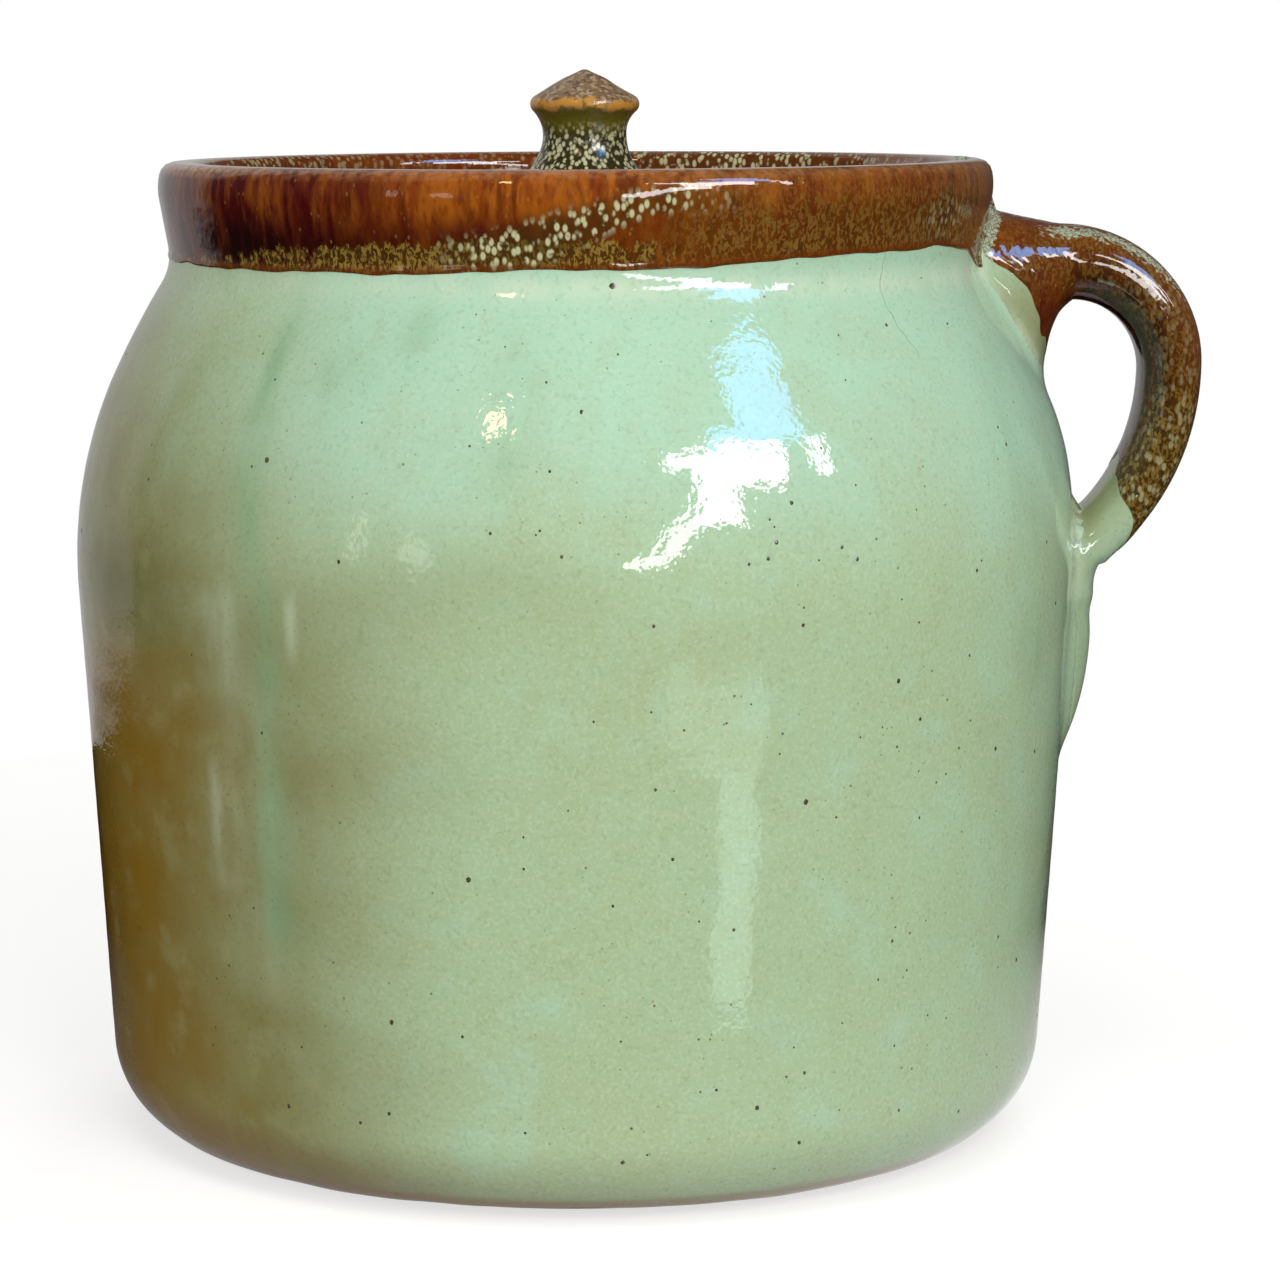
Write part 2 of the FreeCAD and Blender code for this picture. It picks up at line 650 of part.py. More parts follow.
# Lid and knob
lid_clay = lid_body("lid_clay", coat=False)
lid_coated = lid_body("lid_coated", coat=True)
knob_clay = knob_body("knob_clay", coat=False)
knob_coated = knob_body("knob_coated", coat=True)
for disc in (lid_clay, lid_coated):
    seat(disc, LEDGE, "sizes.lid_offset")
for knob in (knob_clay, knob_coated):
    seat(knob, LID_TOP, KNOB_X)
lid_shell = cut("lid_shell", lid_coated, lid_clay)
lid_top_band = cylinder(
    "lid_top_band", FAR, f"sizes.lid_glaze_edge + {CLEAR}", f"{LID_TOP} - sizes.lid_glaze_edge"
)
lid_band = common("lid_band", lid_shell, lid_top_band)
lid_glaze = cut("lid_glaze", lid_band, knob_coated)
knob_glaze = cut("knob_glaze", knob_coated, knob_clay)

PIECES = (
    pot_clay,
    handle_clay,
    lid_clay,
    knob_clay,
    celadon_glaze,
    collar_glaze,
    liner_glaze,
    handle_brown_glaze,
    handle_green_glaze,
    lid_glaze,
    knob_glaze,
)

doc.recompute()


def check_document():
    """Stops the build if any object failed or any piece is empty or broken."""
    for item in doc.Objects:
        faults = [state for state in item.State if state in ("Invalid", "Error")]
        if faults:
            raise RuntimeError(f"{item.Name} is {faults}")
    for piece in PIECES:
        if piece.Shape.isNull() or not piece.Shape.isValid() or not piece.Shape.Solids:
            raise RuntimeError(f"{piece.Label} has no valid solid")


check_document()
os.makedirs("parts", exist_ok=True)
for piece in PIECES:
    piece.Shape.exportStep(f"parts/{piece.Label}.step")
    box = piece.Shape.BoundBox
    print(
        f"{piece.Label}: {len(piece.Shape.Solids)} solid, volume {piece.Shape.Volume:.0f}, "
        f"x {box.XMin:.2f} {box.XMax:.2f} y {box.YMin:.2f} {box.YMax:.2f} "
        f"z {box.ZMin:.2f} {box.ZMax:.2f}"
    )
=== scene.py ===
"""Ceramic storage jar: the looks of a glazed stoneware pot with a strap handle and an inset lid.

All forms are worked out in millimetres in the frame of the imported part, with +Z up, the origin at
the middle of the base and the handle towards +X, and go into meshes in metres.
"""

import logging
import math
from collections.abc import Callable, Sequence
from dataclasses import dataclass, field
from enum import Enum

import bpy
import numpy as np
from mathutils import Matrix, Quaternion, Vector

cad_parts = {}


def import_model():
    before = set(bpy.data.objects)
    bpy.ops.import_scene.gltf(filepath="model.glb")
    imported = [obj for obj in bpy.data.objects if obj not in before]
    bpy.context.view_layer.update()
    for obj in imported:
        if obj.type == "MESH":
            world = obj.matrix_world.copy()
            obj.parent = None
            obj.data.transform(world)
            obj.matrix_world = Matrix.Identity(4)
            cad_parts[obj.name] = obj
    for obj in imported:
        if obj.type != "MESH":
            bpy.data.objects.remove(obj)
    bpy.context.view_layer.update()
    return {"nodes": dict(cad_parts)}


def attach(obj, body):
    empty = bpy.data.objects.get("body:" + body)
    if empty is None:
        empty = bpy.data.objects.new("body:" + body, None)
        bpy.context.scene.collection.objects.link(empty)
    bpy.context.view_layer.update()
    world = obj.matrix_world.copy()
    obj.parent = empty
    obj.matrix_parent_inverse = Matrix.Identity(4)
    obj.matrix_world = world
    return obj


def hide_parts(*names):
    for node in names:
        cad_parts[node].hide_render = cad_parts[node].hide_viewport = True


LOG = logging.getLogger("storage_jar")
MM = 0.001
# A distance in mm that stands for "nowhere near the handle".
FAR = 99.0
BAKE_MAP = "OFBake"

Pair = tuple[float, float]
Triple = tuple[float, float, float]
Row = tuple[float, float, float, float]
Array = np.ndarray
Marks = dict[str, Array]
Socket = bpy.types.NodeSocket


class Body(Enum):
    """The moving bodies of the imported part."""

    JAR = "jar"
    LID = "lid"


class Slot(Enum):
    """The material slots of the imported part."""

    STONEWARE = "stoneware"
    CELADON = "celadon_glaze"
    IRON = "iron_glaze"
    LINER = "liner_glaze"
    MOTTLED = "mottled_glaze"


class Side(Enum):
    """Which side of an arc the clay lies on."""

    ROUND = 1.0
    HOLLOW = -1.0


def smooth(low: float, high: float, value: Array) -> Array:
    """A soft step.

    Args:
        low: Where the step starts.
        high: Where it ends, above or below `low`.
        value: The values to step over.

    Returns:
        0 before `low`, 1 past `high`, and a smooth rise between.
    """
    share = np.clip((value - low) / (high - low), 0.0, 1.0)
    return share * share * (3.0 - 2.0 * share)


def bell(distance: Array, width: float) -> Array:
    """A soft bump, 1 at a distance of 0 and near 0 past twice its width."""
    return np.exp(-((distance / width) ** 2))


def rounded(distance: Array, run: float) -> Array:
    """The quarter-round rise of a glaze edge, from 0 at the edge to 1 at `run` from it."""
    share = np.clip(distance / run, 0.0, 1.0)
    return np.sqrt(1.0 - (1.0 - share) ** 2)


def turn_between(angle: Array, centre: float) -> Array:
    """The signed turn in degrees from `centre`, between -180 and 180."""
    return (angle - centre + 180.0) % 360.0 - 180.0


def around(angle: Array, knots: Sequence[Pair]) -> Array:
    """A height that changes smoothly round the jar.

    Args:
        angle: Angles in degrees.
        knots: Chosen (angle, height) pairs in rising order of angle.

    Returns:
        The height at each angle, going through every knot.
    """
    places = np.array([knot[0] for knot in knots])
    heights = np.array([knot[1] for knot in knots])
    turned = (angle - places[0]) % 360.0 + places[0]
    places = np.append(places, places[0] + 360.0)
    heights = np.append(heights, heights[0])
    index = np.clip(np.searchsorted(places, turned, side="right") - 1, 0, len(places) - 2)
    share = (turned - places[index]) / (places[index + 1] - places[index])
    eased = share * share * (3.0 - 2.0 * share)
    return heights[index] * (1.0 - eased) + heights[index + 1] * eased


def ripple(angle: Array, waves: Sequence[Triple]) -> Array:
    """A sum of waves round the jar, each (waves in a turn, height, phase in radians)."""
    turn = np.radians(angle)
    return sum(height * np.sin(count * turn + phase) for count, height, phase in waves)


@dataclass
class Outline:
    """Points of an outline in the plane of radius and height, with the way out of the clay."""

    points: Array
    normals: Array
    lengths: Array = field(init=False)

    def __post_init__(self) -> None:
        """Measures the outline."""
        steps = np.hypot(*np.diff(self.points, axis=0).T)
        self.lengths = np.concatenate([[0.0], np.cumsum(steps)])

    @property
    def total(self) -> float:
        """The whole length."""
        return float(self.lengths[-1])

    def at(self, length: Array) -> tuple[Array, Array]:
        """Reads the outline.

        Args:
            length: Distances along the outline.

        Returns:
            The points and the unit normals there, each with a last axis of two.
        """
        place = [np.interp(length, self.lengths, self.points[:, axis]) for axis in (0, 1)]
        way = [np.interp(length, self.lengths, self.normals[:, axis]) for axis in (0, 1)]
        size = np.maximum(np.hypot(*way), 1e-9)
        return np.stack(place, axis=-1), np.stack([way[0] / size, way[1] / size], axis=-1)

    def length_at_height(self, height: Array, first: float) -> Array:
        """The distance along the outline, past `first`, at which it has risen to a height."""
        rising = self.lengths >= first
        heights = np.maximum.accumulate(self.points[rising, 1])
        return np.interp(height, heights, self.lengths[rising])


class Drawing:
    """Collects the arcs and straight sides of an outline in order."""

    STEP = 0.2

    def __init__(self) -> None:
        """Starts with nothing drawn."""
        self.points: list[Array] = []
        self.normals: list[Array] = []

    def arc(self, centre: Pair, radius: float, start: float, stop: float, side: Side) -> None:
        """Adds an arc.

        Args:
            centre: Its centre.
            radius: Its radius.
            start: The angle in radians at which it starts.
            stop: The angle at which it ends.
            side: Whether the clay is inside the arc or outside it.
        """
        count = max(3, math.ceil(abs(stop - start) * radius / self.STEP))
        angles = np.linspace(start, stop, count + 1)
        way = np.stack([np.cos(angles), np.sin(angles)], axis=-1)
        self.points.append(np.array(centre) + radius * way)
        self.normals.append(side.value * way)

    def line(self, start: Pair, stop: Pair, normal: Pair) -> None:
        """Adds a straight side from one point to another, with its outward normal."""
        count = max(2, math.ceil(math.dist(start, stop) / self.STEP))
        shares = np.linspace(0.0, 1.0, count + 1)[:, None]
        self.points.append(np.array(start) * (1.0 - shares) + np.array(stop) * shares)
        self.normals.append(np.tile(np.array(normal), (count + 1, 1)))

    def outline(self) -> Outline:
        """Joins everything that was drawn."""
        return Outline(np.concatenate(self.points), np.concatenate(self.normals))


def on_circle(centre: Pair, radius: float, angle: float) -> Pair:
    """The point of a circle at an angle."""
    return centre[0] + radius * math.cos(angle), centre[1] + radius * math.sin(angle)


def common_tangent(first: Pair, first_radius: float, second: Pair, second_radius: float) -> float:
    """The angle at which one straight side touches two circles, both on its inner side."""
    across = (second[0] - first[0], second[1] - first[1])
    turn = math.acos((first_radius - second_radius) / math.hypot(*across))
    return math.atan2(across[1], across[0]) - turn


@dataclass
class PotForm:
    """The thrown form that every piece of the pot shares, in mm."""

    glaze: float = 0.7
    wall: float = 6.0
    floor: float = 8.0
    base_radius: float = 76.0
    heel_curve: float = 17.6
    belly_radius: float = 99.3
    belly_height: float = 114.6
    belly_curve: float = 86.7
    shoulder_lean: float = 25.4
    shoulder_curve: float = 213.3
    neck_curve: float = 11.4
    collar_flare: float = 10.0
    rim_radius: float = 82.25
    rim_height: float = 188.0
    lip_side_curve: float = 12.0
    lip_curve: float = 2.1
    lip_inner_curve: float = 1.6
    pot_height: float = 192.3
    mouth_radius: float = 75.0
    gallery_bore: float = 69.5
    gallery_depth: float = 10.0
    gallery_round: float = 1.1
    inner_heel_curve: float = 14.0
    rim_tilt: float = 0.45
    gap_swelling: float = 1.0
    gap_swelling_height: float = 139.0
    outside: Outline = field(init=False)
    inside: Outline = field(init=False)

    def __post_init__(self) -> None:
        """Works out the two outlines and the table of radii for the outer wall."""
        self.belly = (self.belly_radius - self.belly_curve, self.belly_height)
        lean = math.radians(self.shoulder_lean)
        self.shoulder = on_circle(self.belly, self.belly_curve - self.shoulder_curve, lean)
        self.heel = (self.base_radius, self.heel_curve)
        self.wall_angle = common_tangent(self.heel, self.heel_curve, self.belly, self.belly_curve)
        self.side = (self.rim_radius - self.lip_side_curve, self.rim_height)
        rise = self.pot_height - self.lip_curve - self.rim_height
        self.lip_angle = math.asin(rise / (self.lip_side_curve - self.lip_curve))
        self.lip = on_circle(self.side, self.lip_side_curve - self.lip_curve, self.lip_angle)
        self.neck = self._neck_centre()
        self.neck_angle = math.atan2(self.neck[1] - self.shoulder[1], self.neck[0] - self.shoulder[0])
        self.outside = self._draw_outside()
        self.inside = self._draw_inside()
        glazed = self.outside.points + self.glaze * self.outside.normals
        rising = self.outside.lengths > self.base_radius
        self._heights = np.maximum.accumulate(glazed[rising, 1])
        self._radii = glazed[rising, 0]
        self._facing = self.outside.normals[rising]

    def _neck_centre(self) -> Pair:
        """The centre of the hollow arc that touches the shoulder and the collar's side."""
        flare = -math.radians(self.collar_flare)
        start = on_circle(self.side, self.lip_side_curve + self.neck_curve, flare)
        reach = self.shoulder_curve + self.neck_curve
        way = (math.sin(flare), -math.cos(flare))
        away = (start[0] - self.shoulder[0], start[1] - self.shoulder[1])
        half = away[0] * way[0] + away[1] * way[1]
        rest = away[0] ** 2 + away[1] ** 2 - reach**2
        step = -half - math.sqrt(half**2 - rest)
        return start[0] + way[0] * step, start[1] + way[1] * step

    def _draw_outside(self) -> Outline:
        """From the middle of the base to the top of the lip."""
        lean, flare = math.radians(self.shoulder_lean), -math.radians(self.collar_flare)
        out = (math.cos(self.wall_angle), math.sin(self.wall_angle))
        drawing = Drawing()
        drawing.line((0.0, 0.0), (self.base_radius, 0.0), (0.0, -1.0))
        drawing.arc(self.heel, self.heel_curve, -math.pi / 2, self.wall_angle, Side.ROUND)
        drawing.line(
            on_circle(self.heel, self.heel_curve, self.wall_angle),
            on_circle(self.belly, self.belly_curve, self.wall_angle),
            out,
        )
        drawing.arc(self.belly, self.belly_curve, self.wall_angle, lean, Side.ROUND)
        drawing.arc(self.shoulder, self.shoulder_curve, lean, self.neck_angle, Side.ROUND)
        drawing.arc(
            self.neck, self.neck_curve, self.neck_angle + math.pi, flare + math.pi, Side.HOLLOW
        )
        drawing.line(
            on_circle(self.neck, self.neck_curve, flare + math.pi),
            on_circle(self.side, self.lip_side_curve, flare),
            (math.cos(flare), math.sin(flare)),
        )
        drawing.arc(self.side, self.lip_side_curve, flare, self.lip_angle, Side.ROUND)
        drawing.arc(self.lip, self.lip_curve, self.lip_angle, math.pi / 2, Side.ROUND)
        return drawing.outline()

    def _draw_inside(self) -> Outline:
        """From the top of the lip, over the lid's seat, to the middle of the floor."""
        lean, soft = math.radians(self.shoulder_lean), self.gallery_round
        inner = self.lip_inner_curve
        top = (self.mouth_radius + inner, self.pot_height - inner)
        ledge = self.pot_height - self.gallery_depth
        radius = self.shoulder_curve - self.wall
        bore_turn = math.acos((self.gallery_bore - self.shoulder[0]) / radius)
        bore_foot = on_circle(self.shoulder, radius, bore_turn)
        heel, out = self._inner_heel(), (math.cos(self.wall_angle), math.sin(self.wall_angle))
        drawing = Drawing()
        drawing.line((self.lip[0], self.pot_height), (top[0], self.pot_height), (0.0, 1.0))
        drawing.arc(top, inner, math.pi / 2, math.pi, Side.ROUND)
        drawing.line((self.mouth_radius, top[1]), (self.mouth_radius, ledge + soft), (-1.0, 0.0))
        corner = (self.mouth_radius - soft, ledge + soft)
        drawing.arc(corner, soft, 0.0, -math.pi / 2, Side.HOLLOW)
        drawing.line((corner[0], ledge), (self.gallery_bore + soft, ledge), (0.0, 1.0))
        edge = (self.gallery_bore + soft, ledge - soft)
        drawing.arc(edge, soft, math.pi / 2, math.pi, Side.ROUND)
        drawing.line((self.gallery_bore, edge[1]), bore_foot, (-1.0, 0.0))
        drawing.arc(self.shoulder, radius, bore_turn, lean, Side.HOLLOW)
        belly = self.belly_curve - self.wall
        drawing.arc(self.belly, belly, lean, self.wall_angle, Side.HOLLOW)
        drawing.line(
            on_circle(self.belly, belly, self.wall_angle),
            on_circle(heel, self.inner_heel_curve, self.wall_angle),
            (-out[0], -out[1]),
        )
        drawing.arc(heel, self.inner_heel_curve, self.wall_angle, -math.pi / 2, Side.HOLLOW)
        drawing.line((heel[0], self.floor), (0.0, self.floor), (0.0, 1.0))
        return drawing.outline()

    def _inner_heel(self) -> Pair:
        """The centre of the arc between the floor and the inside of the wall."""
        out = (math.cos(self.wall_angle), math.sin(self.wall_angle))
        inset = self.heel_curve - self.wall - self.inner_heel_curve
        start = (self.heel[0] + out[0] * inset, self.heel[1] + out[1] * inset)
        height = self.floor + self.inner_heel_curve
        step = (height - start[1]) / out[0]
        return start[0] - out[1] * step, height

    def unevenness(self, angle: Array, height: Array) -> Array:
        """How far the hand-thrown wall stands out from the true form.

        Args:
            angle: Angles in degrees.
            height: Heights in mm.

        Returns:
            The difference in radius, in mm: faint throwing rings that climb as a spiral, a
            slight oval, shallow dents left by handling the soft pot, and the swelling where
            the wall was pressed out behind the handle's gap.
        """
        turn = np.radians(angle)
        rings = 0.014 * np.sin(2.0 * math.pi * height / 7.9 + turn + 1.5 * np.sin(turn + 0.6))
        oval = 0.09 * np.sin(2.0 * turn + 0.7) + 0.05 * np.sin(3.0 * turn + height / 31.0)
        dents = 0.05 * np.sin(7.0 * turn + height / 13.0) * np.sin(height / 15.0 + 2.0)
        dents = dents + 0.02 * np.sin(15.0 * turn - height / 9.0 + 1.1)
        calm = smooth(1.0, 14.0, height) * (1.0 - 0.6 * smooth(172.0, 180.0, height))
        pressed = self.gap_swelling * bell(turn_between(angle, 0.0), 13.0)
        pressed = pressed * bell(height - self.gap_swelling_height, 15.0)
        return (rings + oval + dents) * calm + pressed

    def tilt(self, angle: Array, height: Array) -> Array:
        """How much higher the rim stands towards +X than at the middle."""
        return self.rim_tilt * np.cos(np.radians(angle)) * smooth(160.0, 190.0, height)

    def place(
        self, path: Outline, length: Array, angle: Array, offset: Array
    ) -> tuple[Array, Array]:
        """Points of a surface that lies on the thrown form.

        Args:
            path: The outside or the inside outline.
            length: Distances along it, in an array of rows by columns.
            angle: Angles in degrees, in an array of the same shape.
            offset: How far each point stands off the clay.

        Returns:
            The points and the outward normals, with a last axis of three.
        """
        flat, way = path.at(length)
        radius = flat[..., 0] + offset * way[..., 0]
        height = flat[..., 1] + offset * way[..., 1]
        near_axis = smooth(0.0, 30.0, radius)
        radius = radius + self.unevenness(angle, height) * near_axis
        height = height + self.tilt(angle, height)
        turn = np.radians(angle)
        points = np.stack([radius * np.cos(turn), radius * np.sin(turn), height], axis=-1)
        normals = [way[..., 0] * np.cos(turn), way[..., 0] * np.sin(turn), way[..., 1]]
        return points, np.stack(normals, axis=-1)

    def stand_off(self, points: Array) -> tuple[Array, Array]:
        """How far points stand off the glazed wall.

        Args:
            points: Points in mm, with a last axis of three.

        Returns:
            The distances, below 0 inside the wall, and the wall's outward normals.
        """
        angle = np.degrees(np.arctan2(points[..., 1], points[..., 0]))
        height = points[..., 2] - self.tilt(angle, points[..., 2])
        radius = np.interp(height, self._heights, self._radii)
        way = np.interp(height, self._heights, self._facing[:, 0])
        up = np.interp(height, self._heights, self._facing[:, 1])
        out = np.hypot(points[..., 0], points[..., 1])
        distance = (out - radius - self.unevenness(angle, height)) * way
        turn = np.radians(angle)
        normals = np.stack([way * np.cos(turn), way * np.sin(turn), up], axis=-1)
        return distance, normals


def blend_union(first: Array, second: Array, width: Array | float) -> Array:
    """Distances to two forms run together, with a fillet of about `width` between them."""
    share = np.clip(0.5 + 0.5 * (second - first) / width, 0.0, 1.0)
    return second + (first - second) * share - width * share * (1.0 - share)


@dataclass
class HandleForm:
    """The pulled strap, its root on the collar and its wiped tail on the belly, in mm."""

    pot: PotForm
    root_height: float = 172.9
    root_start: float = 70.25
    root_sag: float = 5.0
    root_depth: float = 34.0
    root_width: float = 44.0
    reach: float = 20.1
    bow_curve: float = 21.0
    hang_curve: float = 46.0
    thickness: float = 10.9
    bow_swell: float = 2.8
    width: float = 22.0
    landing_thickness: float = 8.9
    landing_width: float = 27.0
    landing_turn: float = 50.0
    tail_turn_curve: float = 14.0
    tail_foot: float = 74.0
    tail_centre: Triple = (94.9, 0.0, 99.6)
    tail_radii: Triple = (9.1, 12.7, 23.4)
    web_centre: Triple = (86.85, 0.0, 162.5)
    web_radii: Triple = (8.3, 15.7, 14.7)
    own_fillet: float = 5.0
    corner_fillet: float = 6.5
    crease_fillet: float = 1.3
    web_fillet: float = 5.5
    tail_fillet: float = 7.5
    bead: float = 0.4
    section_power: float = 2.5
    hidden_depth: float = 2.6
    # The length at the strap's tip where its sections stop counting and the lump takes over.
    tip_length: float = 34.0
    section_slack: float = 0.6
    points_at_once: int = 8192
    # The part of the wall that may rise on to the handle: the angle to each side and the heights.
    lift_angle: float = 34.0
    lift_low: float = 62.0
    lift_high: float = 191.0
    lift_tries: int = 14
    lift_pace: float = 0.9
    most_lift: float = 5.5
    # The search for the handle's surface, outward from near its centre line.
    search_start: float = 0.45
    search_tries: int = 22
    search_pace: float = 0.85
    search_back: float = 1.5
    search_ahead: float = 3.0
    search_reach: float = 19.0
    # How steeply and how far a coat dives below the other one past the join.
    dive: float = 0.6
    most_dive: float = 1.1

    def __post_init__(self) -> None:
        """Works out the strap's centre line and its sections."""
        rows = self._root_rows() + self._bow_rows() + self._hang_rows() + self._tail_rows()
        table = np.array(rows)
        steps = np.hypot(*np.diff(table[:, :2], axis=0).T)
        length = np.concatenate([[0.0], np.cumsum(steps)])
        self.total = float(length[-1])
        self.lengths = np.linspace(0.0, self.total, 260)
        self.centre = np.stack([np.interp(self.lengths, length, table[:, i]) for i in (0, 1)], -1)
        self.half = np.stack([np.interp(self.lengths, length, table[:, i]) for i in (2, 3)], -1)
        along = np.gradient(self.centre, self.lengths, axis=0)
        self.tangent = along / np.hypot(*along.T)[:, None]
        self.normal = np.stack([-self.tangent[:, 1], self.tangent[:, 0]], axis=-1)
        self.bow_length = float(length[len(self._root_rows())])
        self.hang_length = self.bow_length + self.bow_curve * math.pi / 2

    @property
    def bow_x(self) -> float:
        """Where the bow's quarter turn starts."""
        return self.pot.belly_radius + self.reach - self.bow_curve

    def _root_rows(self) -> list[Row]:
        """The widening root, from inside the collar's wall out to the bow."""
        rows = []
        for away in np.linspace(0.66, 0.04, 16):
            grown = away**1.05
            x = self.bow_x - (self.bow_x - self.root_start) * away
            z = self.root_height - self.root_sag * grown
            thick = self.thickness + (self.root_depth - self.thickness) * grown + self.bow_swell
            wide = self.width + (self.root_width - self.width) * grown
            rows.append((x, z, thick / 2 + self.pot.glaze, wide / 2 + self.pot.glaze))
        return rows

    def _bow_rows(self) -> list[Row]:
        """The quarter turn at the top."""
        rows = []
        for turn in np.radians(np.linspace(0.0, 90.0, 31)):
            x = self.bow_x + self.bow_curve * math.sin(turn)
            z = self.root_height - self.bow_curve * (1.0 - math.cos(turn))
            thick = self.thickness + self.bow_swell * (1.0 - turn / (math.pi / 2))
            rows.append((x, z, thick / 2 + self.pot.glaze, self.width / 2 + self.pot.glaze))
        return rows

    def _hang_point(self, turn: float) -> Pair:
        """A point of the wide hanging curve, at a turn in radians."""
        x = self.pot.belly_radius + self.reach - self.hang_curve * (1.0 - math.cos(turn))
        return x, self.root_height - self.bow_curve - self.hang_curve * math.sin(turn)

    def _hang_rows(self) -> list[Row]:
        """The wide curve down to the belly."""
        rows = []
        for degrees in np.linspace(2.0, self.landing_turn, 25):
            grown = degrees / 78.0
            thick = self.thickness + (self.landing_thickness - self.thickness) * grown
            wide = self.width + (self.landing_width - self.width) * grown**2
            x, z = self._hang_point(math.radians(degrees))
            rows.append((x, z, thick / 2 + self.pot.glaze, wide / 2 + self.pot.glaze))
        return rows

    def _tail_rows(self) -> list[Row]:
        """The strap's end, turned down the wall and drawn out to a tip."""
        turn = math.radians(self.landing_turn)
        start = self._hang_point(turn)
        centre = on_circle(start, self.tail_turn_curve, -turn)
        thick, wide = self.landing_thickness / 2, self.landing_width / 2
        rows = []
        for left in np.linspace(0.9 * turn, 0.0, 9):
            x, z = on_circle(centre, -self.tail_turn_curve, -left)
            rows.append((x, z, thick, wide))
        last = rows[-1]
        for share in np.linspace(0.12, 1.0, 12):
            z = last[1] + (self.tail_foot - last[1]) * share
            narrow = 1.0 - 0.62 * share**2
            rows.append((last[0] - 3.5 * share, z, thick * narrow, wide * narrow))
        return rows

    def strap_distance(self, points: Array) -> Array:
        """Distances of points from the strap's flattened oval sections, below 0 inside."""
        flat, power = points.reshape(-1, 3), self.section_power
        out = np.empty(len(flat))
        last = int(np.searchsorted(self.lengths, self.total - self.tip_length))
        for first in range(0, len(flat), self.points_at_once):
            part = flat[first : first + self.points_at_once]
            away = part[:, None, [0, 2]] - self.centre[None, :last]
            nearest = np.argmin((away**2).sum(-1), axis=1)
            offset = away[np.arange(len(part)), nearest]
            across = np.abs((offset * self.normal[nearest]).sum(-1))
            along = (offset * self.tangent[nearest]).sum(-1)
            half = self.half[nearest]
            share = np.maximum(np.stack([across, np.abs(part[:, 1])], axis=-1) / half, 1e-4)
            level = (share**power).sum(-1) ** (1.0 / power)
            slope = np.linalg.norm(share ** (power - 1.0) / half, axis=-1) * level ** (1.0 - power)
            inner = (level - 1.0) / np.maximum(slope, 1e-6)
            past = np.maximum(np.abs(along) - self.section_slack, 0.0)
            outside = np.hypot(past, np.maximum(inner, 0))
            out[first : first + len(part)] = np.where(past > 0, outside, inner)
        return out.reshape(points.shape[:-1])

    @staticmethod
    def lump_distance(points: Array, centre: Triple, radii: Triple) -> Array:
        """Distances of points from a rounded lump of clay."""
        away = points - np.array(centre)
        level = np.sqrt(((away / np.array(radii)) ** 2).sum(-1))
        slope = np.sqrt(((away / np.array(radii) ** 2) ** 2).sum(-1))
        return level * (level - 1.0) / np.maximum(slope, 1e-6)

    def own_distance(self, points: Array) -> Array:
        """Distances of points from the glazed handle alone."""
        strap = self.strap_distance(points)
        tail = self.lump_distance(points, self.tail_centre, self.tail_radii)
        web = self.lump_distance(points, self.web_centre, self.web_radii)
        joined = blend_union(strap, tail, self.corner_fillet)
        return blend_union(joined, web, self.own_fillet) - self.pull_marks(points)

    @staticmethod
    def pull_marks(points: Array) -> Array:
        """The soft lumps and faint ridges that pulling leaves along a strap."""
        x, y, z = points[..., 0], points[..., 1], points[..., 2]
        lumps = 0.08 * np.sin(x / 7.1 + 1.3) * np.sin(z / 8.3)
        return lumps + 0.012 * np.sin(y / 1.7 + x / 19.0)

    def fillet(self, height: Array) -> Array:
        """How wide the join with the wall is smeared: a crease, but wide at the web and tail."""
        web = smooth(173.0, 166.0, height) * smooth(128.0, 142.0, height)
        wide = self.crease_fillet + (self.web_fillet - self.crease_fillet) * web
        return wide + (self.tail_fillet - self.crease_fillet) * smooth(111.0, 97.0, height)

    def pooled(self, height: Array) -> Array:
        """Where glaze pooled to a bead in the join: at the collar and in the lower corner."""
        return np.maximum(smooth(167.0, 171.0, height), 0.9 * bell(height - 119.0, 7.0))

    def joined_distance(self, points: Array) -> tuple[Array, Array, Array]:
        """Distances from the wall and the handle run together.

        Args:
            points: Points in mm.

        Returns:
            The joined distance, the wall's own and the handle's own.
        """
        wall, _ = self.pot.stand_off(points)
        own = self.own_distance(points)
        height = points[..., 2]
        joined = blend_union(wall, own, self.fillet(height))
        near = bell(wall - own, 0.9) * bell(np.maximum(wall, own), 1.6)
        return joined - self.bead * near * self.pooled(height), wall, own

    def lift(self, points: Array, normals: Array, level: Array) -> tuple[Array, Array]:
        """Moves points of the wall out to the surface that the wall and the handle share.

        Args:
            points: Points of the wall.
            normals: Their outward normals.
            level: How far each point stands off the glazed surface.

        Returns:
            The moved points, and how close each lies to the line where the handle begins.
        """
        moved, seam = points.copy(), np.full(points.shape[:-1], FAR)
        height = points[..., 2]
        near = np.abs(np.degrees(np.arctan2(points[..., 1], points[..., 0]))) < self.lift_angle
        near = near & (height > self.lift_low) & (height < self.lift_high)
        if not near.any():
            return moved, seam
        start, way, wanted = points[near], normals[near], level[near]
        gone = np.zeros(len(start))
        for _ in range(self.lift_tries):
            joined = self.joined_distance(start + gone[:, None] * way)[0]
            step = np.maximum(wanted - joined, -gone) * self.lift_pace
            gone = np.clip(gone + step, 0.0, self.most_lift)
        _, wall, own = self.joined_distance(start + gone[:, None] * way)
        sink = np.clip((wall - own) * self.dive, 0.0, self.most_dive)
        moved[near] = start + (gone - sink)[:, None] * way
        seam[near] = wall - own
        return moved, seam

